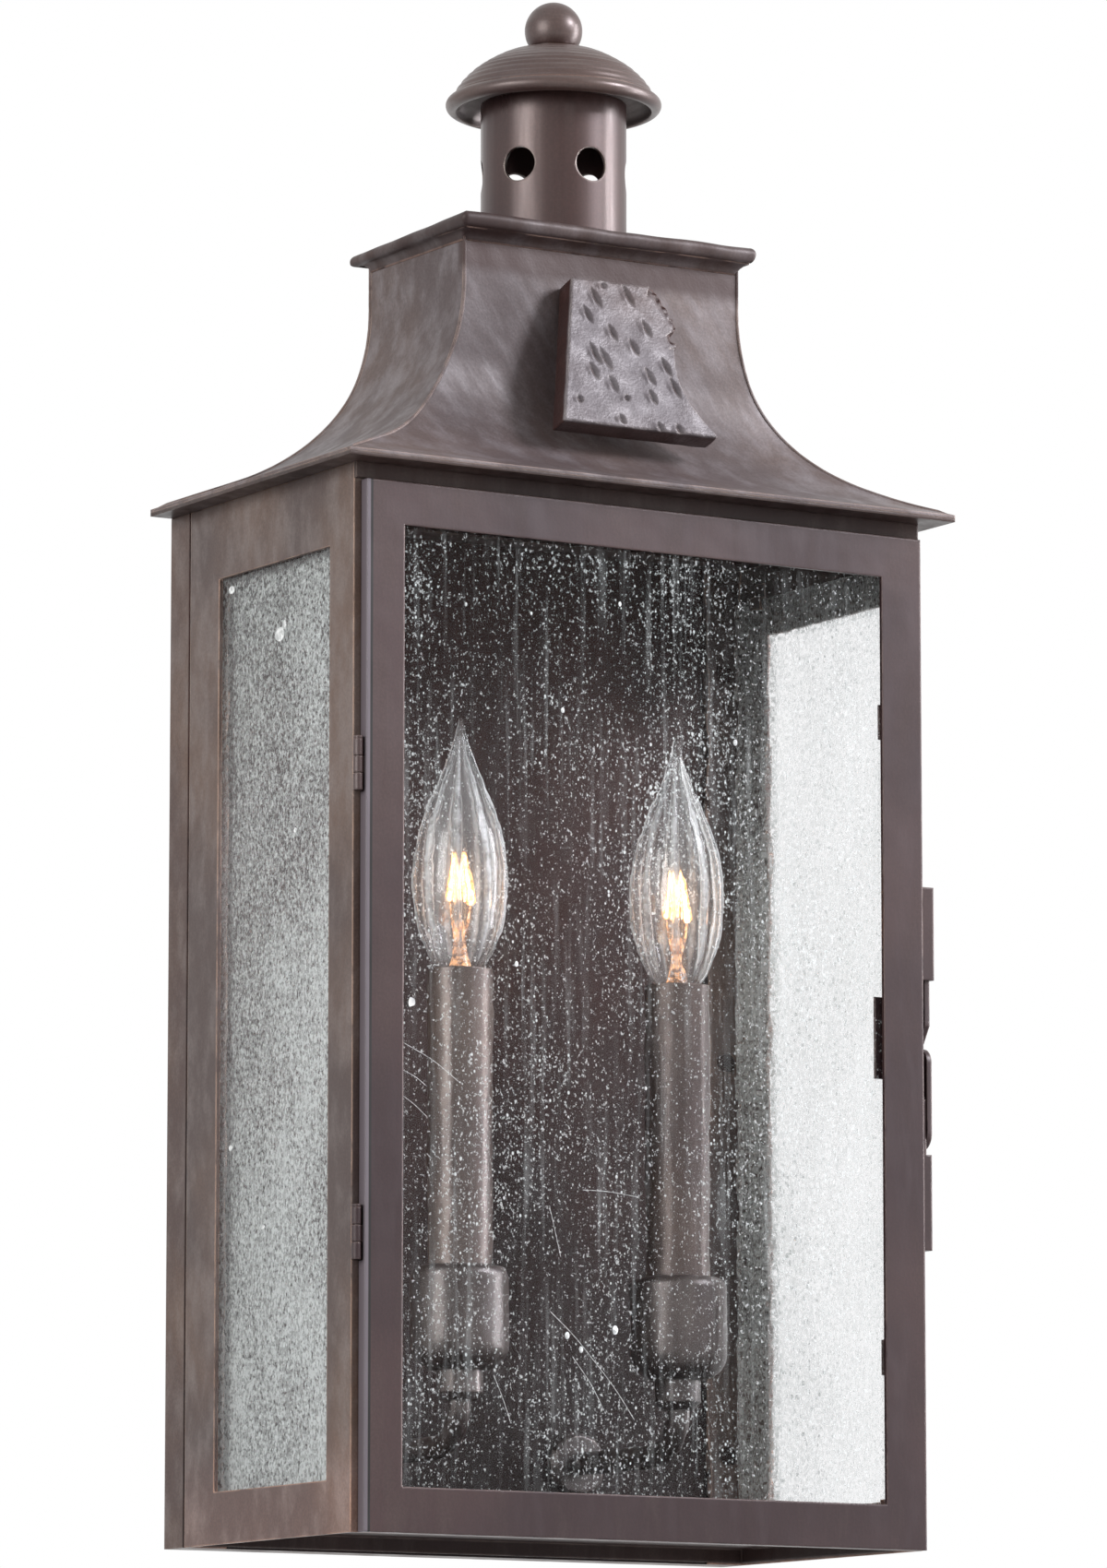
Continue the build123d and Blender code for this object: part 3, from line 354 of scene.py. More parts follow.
def bronze(name, patina_values, rub, bump, rim=(0.30, 0.22, 0.18, 1), metal=0.25, gloss=0.5, extra=None):
    """A bronze finish: rub is how strong the rims show, and rim is their colour, paler rubbed metal with a
    painted highlight.

    metal and gloss set how strong the sheen is against the colour. extra changes the colour by position:
    painted light and shade, and in one finish a paler foot."""
    material, tree = new_material(name)
    skin = place_group(tree, patina, patina_values)
    rims = place_group(tree, edges, {"Amount": rub})
    colour = mix_colour(tree, rims["Mask"], skin["Color"], rim)
    if extra is not None:
        colour = extra(tree, colour)
    bumpy = {"Height": skin["Height"], "Normal": rims["Normal"], "Strength": bump, "Distance": 0.001}
    sockets = {
        "Base Color": colour,
        "Roughness": skin["Roughness"],
        "Metallic": metal,
        "Specular IOR Level": gloss,
        "Normal": add(tree, "Bump", bumpy).outputs[0],
    }
    show(tree, add(tree, "BsdfPrincipled", sockets))
    finishes[name] = material


# %% [markdown]
# The side frames, the pan and the sill share their tones: brown with warm clouds, brushed at a
# slant. The sill's lip and the pan differ in a few values only, so each starts from a copy. The
# sill's lip is much paler: a painted highlight, for the light line along the bottom edge.

# %% Bronze of the body
side_tones = {
    "Ground": (0.066, 0.043, 0.039, 1),
    "Warm": (0.130, 0.080, 0.058, 1),
    "Warm Amount": 0.8,
    "Rub Amount": 0.5,
    "Brush": (42.0, 42.0, 12.0),
    "Slant": -0.5,
}
# The side frames get paler and warmer towards the bottom.
bronze("body_bronze", side_tones, 1.0, 0.3, (0.40, 0.26, 0.19, 1), extra=paler_warmer_foot)
lip_highlight_tones = {**side_tones, "Ground": (0.26, 0.22, 0.21, 1), "Warm": (0.34, 0.27, 0.24, 1)}
bronze("lip_painted_highlight", lip_highlight_tones, 0.5, 0.2)
pan_tones = {**side_tones, "Ground": (0.080, 0.053, 0.048, 1), "Warm": (0.150, 0.095, 0.068, 1)}
# The pan's finish carries painted shade inside the lantern.
bronze("pan_bronze", pan_tones, 0.7, 0.3, metal=0.12, gloss=0.22, extra=pan_painted_shade)
print("body finishes", list(finishes))

# %% [markdown]
# The roof sheets are greyer and were rubbed in slanting strokes. The cap above them is dark,
# and the dome and chimney were turned or rolled, so their brushing runs round or upright.

# %% Bronze of the roof
roof_tones = {
    "Ground": (0.076, 0.056, 0.057, 1),
    "Warm": (0.122, 0.083, 0.068, 1),
    "Rubbed": (0.235, 0.212, 0.226, 1),
    "Rub Amount": 0.50,
    "Brush": (38.0, 38.0, 12.0),
    "Slant": 0.6,
    "Dull": 0.13,
}
# The roof's front sheet carries a painted shadow under the cap.
bronze("roof_bronze", roof_tones, 1.0, 0.8, (0.42, 0.30, 0.25, 1), 0.10, 0.4, cap_painted_shadow)
cap_tones = {
    **roof_tones,
    "Ground": (0.030, 0.015, 0.014, 1),
    "Warm": (0.06, 0.034, 0.028, 1),
    "Rub Amount": 0.2,
    "Slant": 0.0,
}
bronze("cap_bronze", cap_tones, 1.0, 0.5, (0.34, 0.22, 0.18, 1), 0.12, 0.38)
spun_tones = {"Ground": (0.060, 0.034, 0.032, 1), "Brush": (20.0, 20.0, 160.0), "Rub Amount": 0.2}
bronze("spun_bronze", spun_tones, 0.9, 0.15, (0.36, 0.22, 0.17, 1), 0.3, 0.8)
tube_tones = {
    "Ground": (0.028, 0.0085, 0.0085, 1),
    "Warm": (0.058, 0.025, 0.020, 1),
    "Brush": (90.0, 90.0, 5.0),
    "Rub Amount": 0.08,
    "Dull": -0.03,
}
bronze("tube_bronze", tube_tones, 1.0, 0.06, (0.45, 0.38, 0.34, 1), 0.35, 0.75)
print("roof finishes", list(finishes)[3:])

# %% [markdown]
# The door is the darkest and reddest part, and nearly plain. The recessed plates, the header, the
# bottom plate and the soffit, are like it, as painted shade for the shade under the eave and
# under the body.
# The forged plate is a grey iron, and the candles are a little warmer and glossier.

# %% Bronze of the door, plate and candles
door_tones = {
    "Ground": (0.023, 0.008, 0.010, 1),
    "Warm": (0.044, 0.017, 0.016, 1),
    "Rub Amount": 0.14,
    "Brush": (50.0, 50.0, 10.0),
}
bronze("door_bronze", door_tones, 0.6, 0.25, (0.26, 0.18, 0.16, 1), 0.15, 0.5)
# The door frame carries a painted highlight and a painted shadow along its hinge edge.
bronze("door_frame_bronze", door_tones, 0.6, 0.25, (0.26, 0.18, 0.16, 1), 0.15, 0.5, hinge_painted_light)
# Painted shade for the header, the bottom plate and the soffit.
painted_shade_tones = {**door_tones, "Ground": (0.022, 0.010, 0.009, 1), "Warm": (0.040, 0.019, 0.015, 1)}
bronze("painted_shade_bronze", painted_shade_tones, 0.4, 0.2, metal=0.1, gloss=0.3)
forged_tones = {
    "Ground": (0.105, 0.090, 0.098, 1),
    "Rubbed": (0.26, 0.24, 0.25, 1),
    "Rub Amount": 0.4,
    "Brush": (60.0, 60.0, 60.0),
    "Grain": 0.25,
    "Dull": 0.08,
}
# The forged plate carries painted shade on its sides and in its cuts.
bronze("forged_bronze", forged_tones, 0.8, 0.6, (0.50, 0.44, 0.42, 1), 0.1, 0.4, plate_painted_shade)
upright_brush = {"Brush": (50.0, 50.0, 5.0)}
candle_tones = {**upright_brush, "Ground": (0.048, 0.028, 0.024, 1), "Warm": (0.12, 0.075, 0.052, 1)}
bronze("candle_bronze", candle_tones, 0.4, 0.2, metal=0.35, gloss=0.8)
cup_tones = {**upright_brush, "Ground": (0.020, 0.010, 0.009, 1), "Warm": (0.045, 0.026, 0.020, 1)}
bronze("cup_bronze", cup_tones, 0.3, 0.15, metal=0.35, gloss=0.9)
print("all bronzes", len(finishes))

# %% [markdown]
# ## Fixings, sockets and wires
# The small metal and plastic pieces are mostly hidden, but each has its own finish.

# %% Plain finishes with a fine grain
def small_finish(name, dark, light, roughness, metallic, scale=300.0):
    """Two close tones in small patches, with a roughness that follows them."""
    material, tree = new_material(name)
    patch = noise(tree, object_place(tree), scale, 3.0)
    sockets = {
        "Base Color": mix_colour(tree, between(tree, patch, 0.35, 0.65), dark, light),
        "Roughness": between(tree, patch, 0.3, 0.7, roughness - 0.06, roughness + 0.08),
        "Metallic": metallic,
        "Normal": add(tree, "Bump", {"Height": patch, "Strength": 0.2, "Distance": 0.0002}).outputs[0],
    }
    show(tree, add(tree, "BsdfPrincipled", sockets))
    finishes[name] = material


small_finish("zinc", (0.42, 0.43, 0.44, 1), (0.58, 0.58, 0.56, 1), 0.36, 1.0)
small_finish("brass", (0.55, 0.38, 0.16, 1), (0.70, 0.52, 0.25, 1), 0.30, 1.0)
small_finish("lamp_cap", (0.50, 0.42, 0.28, 1), (0.66, 0.58, 0.42, 1), 0.28, 1.0)
small_finish("moulded_black", (0.012, 0.012, 0.012, 1), (0.03, 0.03, 0.03, 1), 0.5, 0.0)
small_finish("wire_sleeve", (0.02, 0.02, 0.02, 1), (0.05, 0.05, 0.05, 1), 0.55, 0.0)
small_finish("white_scratch", (0.45, 0.47, 0.47, 1), (0.93, 0.95, 0.95, 1), 0.5, 0.0, 700.0)
print("finishes so far", len(finishes))

# %% [markdown]
# ## Seeded glass
# The panes are full of small bubbles, called seeds, and drawn out in faint upright lines.
# Thousands of modelled bubbles would be slow. A fine speckle of noise gives the finest seeds,
# and cells of a Voronoi texture, each with its own dot size, give the ones that stand out.
# Where a side pane lies over the frame's back and top margins, Margin thins its seeds if it is
# above zero, a painted shadow of the frame's edge on the seeds, and crowds them if it is below.

# %% The seed group
seeds, given, result = new_group(
    "glass_seeds",
    [
        ("Scale", "Float", 800.0),
        ("Low", "Float", 0.6),
        ("High", "Float", 0.75),
        ("Veil", "Float", 0.6),
        ("Dots", "Float", 1.0),
        ("Lines", "Float", 0.3),
        ("Fall", "Float", 0.0),
        ("Margin", "Float", 0.0),
    ],
    [("Mask", "Float"), ("Height", "Float")],
)
place = object_place(seeds)
axes = add(seeds, "SeparateXYZ", {0: place}).outputs
upright = times(seeds, place, (1.0, 1.0, 0.74))
cloud = noise(seeds, times(seeds, place, (1.0, 1.0, 0.5)), 24.0, 3.0)
low_down = between(seeds, axes["Z"], 0.15, -0.17)
crowd = maths(seeds, "MULTIPLY_ADD", low_down, given["Fall"], 1.0)
crowd = maths(seeds, "MULTIPLY", between(seeds, cloud, 0.3, 0.7, 0.5, 1.5), crowd)
fine = noise(seeds, upright, given["Scale"], 3.0, 0.6)
fine = maths(seeds, "MULTIPLY_ADD", maths(seeds, "SUBTRACT", crowd, 1.0), 0.06, fine)
ramp = {"Value": fine, "From Min": given["Low"], "From Max": given["High"]}
fine = add(seeds, "MapRange", ramp, interpolation_type="SMOOTHSTEP").outputs["Result"]


def seed_layer(scale, largest, rarity):
    """Round dots in cells 1 / scale across. The cell's random number sets each dot's size."""
    cell = add(seeds, "TexVoronoi", {"Vector": upright, "Scale": scale}).outputs
    chance = add(seeds, "SeparateColor", {"Color": cell["Color"]}).outputs[0]
    size = maths(seeds, "MULTIPLY", maths(seeds, "POWER", chance, rarity), largest)
    size = maths(seeds, "MULTIPLY", size, maths(seeds, "MULTIPLY", crowd, given["Dots"]))
    return between(seeds, maths(seeds, "SUBTRACT", size, cell["Distance"]), 0.0, 0.07)


dots = maths(seeds, "MAXIMUM", seed_layer(480.0, 0.25, 2.6), seed_layer(150.0, 0.10, 9.0))
lines = noise(seeds, times(seeds, place, (420.0, 420.0, 16.0)), 1.0, 3.0)
lines = maths(seeds, "MULTIPLY", between(seeds, lines, 0.54, 0.76), given["Lines"])
lines = maths(seeds, "MULTIPLY", lines, crowd)
veil = maths(seeds, "MULTIPLY", fine, given["Veil"])
mask = maths(seeds, "MAXIMUM", maths(seeds, "MAXIMUM", veil, dots), lines)
# Margin above zero thins the seeds along the frame's edges as a painted shadow of the frame; below zero it
# crowds them.
ragged = maths(seeds, "MULTIPLY_ADD", noise(seeds, place, 500.0, 2.0), 0.003, -0.0015)
behind = between(seeds, maths(seeds, "ADD", axes["Y"], ragged), -0.0425, -0.0405)
above = between(seeds, maths(seeds, "ADD", axes["Z"], ragged), 0.1335, 0.1350)
thinned = maths(seeds, "MULTIPLY", maths(seeds, "MAXIMUM", behind, above), given["Margin"])
mask = maths(seeds, "MULTIPLY", mask, maths(seeds, "SUBTRACT", 1.0, thinned))
seeds.links.new(mask, result["Mask"])
waves = noise(seeds, times(seeds, place, (1.0, 1.0, 0.4)), 110.0, 2.0)
slow = noise(seeds, times(seeds, place, (1.0, 1.0, 0.6)), 30.0, 1.0)
seeds.links.new(maths(seeds, "MULTIPLY_ADD", waves, 0.30, slow), result["Height"])
print("group", seeds.name, [s.name for s in seeds.interface.items_tree])

# %% [markdown]
# Glass can be one Principled shader with full transmission. Here a second, milky one stands
# for the seeds, and the seed mask mixes them. For shadows and soft light the pane is simply
# see-through, which lets the lamps in and keeps the picture free of bright specks.

# %% Glass materials
def glass(name, tint, index, seed_values, bump, shine):
    """Clear glass that bends what is behind it, with pale seeds. Lamps shine through it.

    shine is how far the seeds let light through instead of scattering it back."""
    material, tree = new_material(name)
    clear = {"Base Color": tint, "Roughness": 0.0, "IOR": index, "Transmission Weight": 1.0}
    marks = place_group(tree, seeds, seed_values)
    bumpy = {"Height": marks["Height"], "Strength": bump, "Distance": 0.001}
    clear["Normal"] = add(tree, "Bump", bumpy).outputs[0]
    milky = {"Base Color": (0.90, 0.945, 0.94, 1), "Roughness": 0.55, "IOR": 1.2}
    milky["Transmission Weight"] = shine
    shader = add(tree, "BsdfPrincipled", clear)
    bubble = add(tree, "BsdfPrincipled", milky)
    shader = add(tree, "MixShader", {0: marks["Mask"], 1: shader.outputs[0], 2: bubble.outputs[0]})
    paths = add(tree, "LightPath").outputs
    passing = maths(tree, "MAXIMUM", paths["Is Shadow Ray"], paths["Is Diffuse Ray"])
    open_glass = add(tree, "BsdfTransparent", {"Color": (0.88, 0.89, 0.89, 1)})
    show(tree, add(tree, "MixShader", {0: passing, 1: shader.outputs[0], 2: open_glass.outputs[0]}))
    finishes[name] = material


clear_tint = (0.995, 0.995, 1.0, 1)
door_values = {
    "Scale": 1000.0,
    "Low": 0.60,
    "High": 0.67,
    "Veil": 0.70,
    "Dots": 0.9,
    "Lines": 0.16,
    "Fall": -0.12,
}
# The left pane's Margin thins its seeds along the frame's back and top edges: a painted shadow of the frame.
left_values = {
    "Scale": 900.0,
    "Low": 0.40,
    "High": 0.64,
    "Veil": 0.92,
    "Dots": 1.0,
    "Lines": 0.45,
    "Fall": 0.25,
    "Margin": 0.6,
}
right_values = {**left_values, "Veil": 0.40, "Lines": 0.25, "Margin": -1.3}
glass("door_seeded_glass", clear_tint, 1.16, door_values, 1.0, 0.45)
glass("left_seeded_glass", clear_tint, 1.28, left_values, 0.6, 0.72)
glass("right_seeded_glass", clear_tint, 1.28, right_values, 1.0, 0.6)

# %% [markdown]
# The bulbs' glass is clear, with a faint milkiness, and its pressed flutes carry a milky painted
# highlight that shows as white lines. The mesh of each bulb stores how high its surface stands,
# and the material reads that.

# %% Bulb glass
bulb_glass, tree = new_material("clear_bulb_glass")
ridge = add(tree, "Attribute", attribute_name="ridge").outputs["Fac"]
speckled = noise(tree, object_place(tree), 260.0, 3.0)
# Painted highlight: milky white along the ribs, with a faint milkiness all over.
rib_highlight = maths(tree, "MULTIPLY", ridge, between(tree, speckled, 0.3, 0.6, 0.35, 1.0))
rib_highlight = maths(tree, "MULTIPLY_ADD", rib_highlight, 0.80, 0.04)
clear = {"Base Color": (1, 1, 1, 1), "Roughness": 0.02, "IOR": 1.46, "Transmission Weight": 1.0}
clear = add(tree, "BsdfPrincipled", clear)
milky = {"Base Color": (0.93, 0.94, 0.95, 1), "Roughness": 0.5, "IOR": 1.3, "Transmission Weight": 0.3}
milky = add(tree, "BsdfPrincipled", milky)
solid = add(tree, "MixShader", {0: rib_highlight, 1: clear.outputs[0], 2: milky.outputs[0]})
paths = add(tree, "LightPath").outputs
passing = maths(tree, "MAXIMUM", paths["Is Shadow Ray"], paths["Is Diffuse Ray"])
open_glass = add(tree, "BsdfTransparent", {"Color": (0.9, 0.9, 0.9, 1)})
show(tree, add(tree, "MixShader", {0: passing, 1: solid.outputs[0], 2: open_glass.outputs[0]}))
finishes["clear_bulb_glass"] = bulb_glass

# %% [markdown]
# ## Glow
# The filament is white hot: its colour changes in small patches from orange to near white.
# A soft glow round it could be left to the picture's editing. An orange skin of painted glow,
# see-through in patches, keeps it on the object. The glass stem below has painted light from the
# filament: it turns orange towards the top and glows in small spots.

# %% The filament's glow
glow, tree = new_material("white_hot_wire")
heat = noise(tree, object_place(tree), 520.0, 2.0)
warmth = mix_colour(tree, between(tree, heat, 0.36, 0.56), (1.0, 0.42, 0.10, 1), (1.0, 0.80, 0.50, 1))
hot = {"Base Color": warmth, "Emission Color": warmth, "Emission Strength": 7.0, "Roughness": 0.5}
show(tree, add(tree, "BsdfPrincipled", hot))
finishes["white_hot_wire"] = glow

# %% The halo's glow
halo, tree = new_material("orange_halo")
heat = noise(tree, object_place(tree), 700.0, 3.0)
warmth = mix_colour(tree, between(tree, heat, 0.4, 0.6), (1.0, 0.26, 0.05, 1), (1.0, 0.50, 0.18, 1))
shine = {"Base Color": (0, 0, 0, 1), "Emission Color": warmth, "Emission Strength": 3.2, "Roughness": 1.0}
shine = add(tree, "BsdfPrincipled", shine)
thin_air = add(tree, "BsdfTransparent")
cover = between(tree, heat, 0.36, 0.58, 0.10, 0.75)
show(tree, add(tree, "MixShader", {0: cover, 1: thin_air.outputs[0], 2: shine.outputs[0]}))
finishes["orange_halo"] = halo

# %% The stem's painted glow
stem_painted_glow, tree = new_material("stem_glass_painted_glow")
rise = between(tree, place_along(tree, "Z"), 0.004, 0.026)
spots = between(tree, noise(tree, object_place(tree), 520.0, 3.0), 0.42, 0.62)
pale = mix_colour(tree, rise, (0.40, 0.34, 0.32, 1), (0.80, 0.50, 0.30, 1))
ember = mix_colour(tree, spots, (0.05, 0.02, 0.01, 1), (1.0, 0.50, 0.22, 1))
lit = {"Base Color": pale, "Emission Color": ember, "Emission Strength": 0.9}
lit.update({"Roughness": 0.1, "Transmission Weight": 0.8})
show(tree, add(tree, "BsdfPrincipled", lit))
finishes["stem_glass_painted_glow"] = stem_painted_glow
print("all finishes", len(finishes))

# %% [markdown]
# ## Shapes from arrays
# Every new piece below is a surface given as a grid of points: one direction goes round the
# piece, the other along its profile. Numpy works out all the points at once, and one function
# turns any such grid into a closed mesh. The other way, pushing vertices by hand, can't be
# changed afterwards, while a formula can.

# %% From a grid to a mesh
def piece(name, grids, finish, body, replaced=(), ringed=False, crease=35.0):
    """A mesh from grids of points, each (rows, columns, 3), closed round their columns.

    Ringed grids also join their last row to the first. Others end in a point at the mean of
    the first and last rows. Faces look outward: a grid whose signed volume is negative is turned."""
    vertices, faces, start = [], [], 0
    for grid in grids:
        rows, columns = grid.shape[:2]
        index = start + np.arange(rows * columns).reshape(rows, columns)
        points = grid.reshape(-1, 3)
        upper, lower = (index, np.roll(index, -1, 0)) if ringed else (index[:-1], index[1:])
        quads = np.stack([upper, np.roll(upper, -1, 1), np.roll(lower, -1, 1), lower], -1).reshape(-1, 4)
        fans = np.zeros((0, 3), int)
        if not ringed:
            ends = start + len(points) + np.arange(2)
            points = np.vstack([points, grid[0].mean(0), grid[-1].mean(0)])
            first = np.stack([np.full(columns, ends[0]), np.roll(index[0], -1), index[0]], -1)
            last = np.stack([np.full(columns, ends[1]), index[-1], np.roll(index[-1], -1)], -1)
            fans = np.vstack([first, last])
        corner = points[np.vstack([quads[:, :3], quads[:, [0, 2, 3]], fans]) - start]
        volume = np.einsum("ij,ij->i", corner[:, 0], np.cross(corner[:, 1], corner[:, 2])).sum() / 6
        if volume < 0:
            quads, fans = quads[:, ::-1], fans[:, ::-1]
        faces += quads.tolist() + fans.tolist()
        vertices.append(points)
        start += len(points)
    mesh = bpy.data.meshes.new(name)
    mesh.from_pydata(np.vstack(vertices).tolist(), [], faces)
    mesh.shade_smooth()
    mesh.set_sharp_from_angle(angle=np.radians(crease))
    mesh.materials.append(finishes[finish])
    made = bpy.data.objects.new(name, mesh)
    bpy.context.scene.collection.objects.link(made)
    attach(made, body)
    if replaced:
        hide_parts(*replaced)
    print(name, len(mesh.polygons), "faces")
    return made


# %% Lines and outlines
def smooth_line(points, steps):
    """A curve through points: on each stretch, the cubic whose slopes at both ends are half
    the way between the points before and after."""
    p = np.asarray(points, float)
    p = np.vstack([2 * p[0] - p[1], p, 2 * p[-1] - p[-2]])
    a, b, c, d = p[:-3, None], p[1:-2, None], p[2:-1, None], p[3:, None]
    t = (np.arange(steps) / steps)[None, :, None]
    line = b + (c - a) / 2 * t + (a - 2.5 * b + 2 * c - d / 2) * t**2 + (1.5 * (b - c) + (d - a) / 2) * t**3
    return np.vstack([line.reshape(-1, p.shape[1]), p[-2]])


def even_loop(corners, count, rounding):
    """Points evenly spaced along a closed polygon, each the mean of its neighbours within the
    rounding length, which rounds the corners."""
    loop = np.vstack([corners, corners[:1]])
    length = np.concatenate([[0], np.cumsum(np.linalg.norm(np.diff(loop, axis=0), axis=1))])
    at = np.linspace(0, length[-1], count, endpoint=False)
    even = np.stack([np.interp(at, length, loop[:, k]) for k in range(loop.shape[1])], -1)
    reach = max(1, int(round(rounding / length[-1] * count)))
    return np.mean([np.roll(even, k, 0) for k in range(-reach, reach + 1)], axis=0)


def outward(loop):
    """The unit normals of a closed flat loop that runs anticlockwise."""
    along = np.roll(loop, -1, 0) - np.roll(loop, 1, 0)
    normal = np.stack([along[:, 1], -along[:, 0]], -1)
    return normal / np.linalg.norm(normal, axis=1, keepdims=True)


def uneven(t, seed, waves=7):
    """A smooth random wave on a loop's share t, from about -1 to 1: a sum of sines."""
    dice = np.random.default_rng(seed)
    number = dice.integers(2, 30, waves)
    phase, size = dice.uniform(0, 6.3, waves), dice.uniform(0.4, 1.0, waves) / np.sqrt(number / 2)
    return (size * np.sin(2 * np.pi * t[:, None] * number + phase)).sum(1) / 2


# %% Turned pieces and tubes
def turned(profile, axis, count=96):
    """A profile of (radius, height) carried round an upright axis at (x, y)."""
    angle = np.linspace(0, 2 * np.pi, count, endpoint=False)
    radius, height = np.asarray(profile, float).T
    x = axis[0] + radius[:, None] * np.cos(angle)
    y = axis[1] + radius[:, None] * np.sin(angle)
    return np.stack([x, y, np.broadcast_to(height[:, None], x.shape)], -1)


def rounded_ends(line, radius):
    """A tube's radius along a line, closing like a ball at both ends."""
    along = np.concatenate([[0], np.cumsum(np.linalg.norm(np.diff(line, axis=0), axis=1))])
    near = np.minimum(along, along[-1] - along)
    return radius * np.sqrt(np.clip(1 - (1 - np.clip(near / radius, 0, 1)) ** 2, 1e-4, 1))


def tube(line, radius, count=10):
    """A round tube about a line of points. Each ring lies square to the line's direction."""
    along = np.gradient(line, axis=0)
    along /= np.linalg.norm(along, axis=1, keepdims=True)
    guide = np.eye(3)[np.argmin(np.abs(along).max(0))]
    across = np.cross(along, guide)
    across /= np.linalg.norm(across, axis=1, keepdims=True)
    third = np.cross(along, across)
    angle = np.linspace(0, 2 * np.pi, count, endpoint=False)[None, :, None]
    ring = np.cos(angle) * across[:, None] + np.sin(angle) * third[:, None]
    return line[:, None] + np.asarray(radius)[:, None, None] * ring


# %% [markdown]
# ## The forged plate
# A thick keystone of iron, hammered and chiselled, with a torn right edge. A sculpted mesh
# would do, but its marks are few and plain: a flat face minus one long V-shaped cut for
# each chisel mark. The plate's plane leans back with the roof, so the shape is worked out flat,
# in millimetres, and then carried to its place along the plate's three axes.

# %% The plate's outline
plate_origin = np.array([0.0, -0.1005, 0.2364])
plate_axes = np.array(
    [(1, 0, 0), (0, np.sin(plate_lean), np.cos(plate_lean)), (0, -np.cos(plate_lean), np.sin(plate_lean))]
)
thick, steps = 8.2, 520
torn_edge = [
    (30.6, -56.4), (29.3, -54.6), (25.4, -50.2), (22.0, -45.3), (19.5, -39.3), (18.7, -34.1), (18.5, -30.5),
    (19.4, -23.6), (21.6, -21.7), (19.8, -19.6), (19.9, -16.9), (23.0, -14.8), (23.2, -12.0), (21.7, -9.9),
    (19.7, -6.2), (17.8, -1.7), (16.3, 0.2),
]
keystone = np.array([(-30.9, -56.4), *torn_edge, (-17.0, 0.0)])
rim = even_loop(keystone, steps, 0.35)
share = np.arange(steps) / steps
rim = rim + outward(rim) * (0.16 * uneven(share, 3, 14))[:, None]
print("plate", np.round(np.ptp(rim, axis=0), 1), "mm, thick", thick)

# %% [markdown]
# Each chisel mark is given by the place of its middle and half its length. They all lean the
# same way, as from one hand. Soft waves in random directions are what the hammer left.

# %% The plate's face
mark_turn = np.radians(111.0)
marks = np.array(
    [
        (-8.9, -6.8, 3.4), (4.5, -4.5, 3.8), (-13.4, -13.8, 3.0), (-4.8, -19.9, 2.7), (9.5, -16.8, 2.9),
        (2.9, -24.7, 2.9), (-13.4, -28.9, 3.6), (-9.6, -30.5, 3.8), (-15.3, -35.8, 3.0), (-8.4, -40.3, 2.8),
        (14.7, -31.0, 3.2), (7.2, -35.5, 2.9), (6.7, -43.6, 2.4), (16.7, -38.8, 3.4), (-4.9, -1.7, 1.1),
        (-23.1, -47.7, 1.2), (-3.9, -45.1, 1.0), (-7.5, -53.6, 1.8), (7.4, -55.0, 1.7), (15.2, -54.9, 1.7),
    ]
)


def rough_waves(x, y, seed, count, shortest, longest):
    """A sum of sines that run in random directions, about 1 high: long waves weigh more."""
    dice = np.random.default_rng(seed)
    length = dice.uniform(shortest, longest, count)
    turn, phase = dice.uniform(0, np.pi, count), dice.uniform(0, 2 * np.pi, count)
    way_x, way_y = 2 * np.pi * np.cos(turn) / length, 2 * np.pi * np.sin(turn) / length
    waves = np.sin(x[..., None] * way_x + y[..., None] * way_y + phase) * length / longest
    return waves.sum(-1) / np.sqrt(count)


def hammered(x, y):
    """How far the face sinks: each chisel mark is a long V, deepest at its middle, with a
    raised lip at its left, and soft waves lie between them."""
    away = np.stack([x, y], -1)[..., None, :] - marks[:, :2]
    down = away @ np.array([np.cos(mark_turn), np.sin(mark_turn)])
    side = away @ np.array([-np.sin(mark_turn), np.cos(mark_turn)])
    far = np.abs(down) / (marks[:, 2] * 1.35)
    hollow = 1.25 * np.clip(1 - far**2 - np.abs(side) / 1.7, 0, 1)
    hollow = hollow - 0.45 * np.exp(-4 * far**2 - ((side - 2.0) / 0.8) ** 2)
    waves = 0.12 * rough_waves(x, y, 4, 14, 5.0, 16.0) + 0.02 * rough_waves(x, y, 5, 20, 1.6, 3.5)
    return hollow.sum(-1) + waves


# %% [markdown]
# The plate is one closed grid: rows run from the middle of the face out to the rim, down the
# side and back to the middle of the rear. The rim is chamfered, most of all where it was torn.

# %% Forged plate
centre = np.array([0.0, -29.0])
front = 1 - (1 - np.linspace(0.01, 1.0, 84)) ** 1.25
flat = centre + front[:, None, None] * (rim - centre)
torn_side = (rim[:, 0] > 14) & (rim[:, 1] > -23)
chamfer = np.where(torn_side, 2.0, 0.35) * (1 + 0.5 * uneven(share, 8, 16))
wide = np.where(torn_side, 0.16, 0.022)
chipped = chamfer * np.clip(1 + (front[:, None] - 1) / wide, 0, 1)
chipped = chipped * (1 + 0.35 * rough_waves(flat[..., 0], flat[..., 1], 6, 12, 1.5, 4.0))
depth = thick - hammered(flat[..., 0], flat[..., 1]) - chipped
side = np.linspace(1, 0, 9)[1:, None]
wall = rim + outward(rim) * (0.3 * np.sin(np.pi * side) * (1 + uneven(share, 5)))[..., None]
wall_depth = side * depth[-1]
back = np.linspace(1, 0.02, 8)[1:, None, None]
flat = np.vstack([flat, wall, centre + back * (rim - centre)])
depth = np.vstack([depth, wall_depth, np.zeros((7, steps))])
plate = plate_origin + (np.concatenate([flat, depth[..., None]], -1) / 1000) @ plate_axes
piece("forged_keystone", [plate], "forged_bronze", "lantern", ["hammered_plate"])

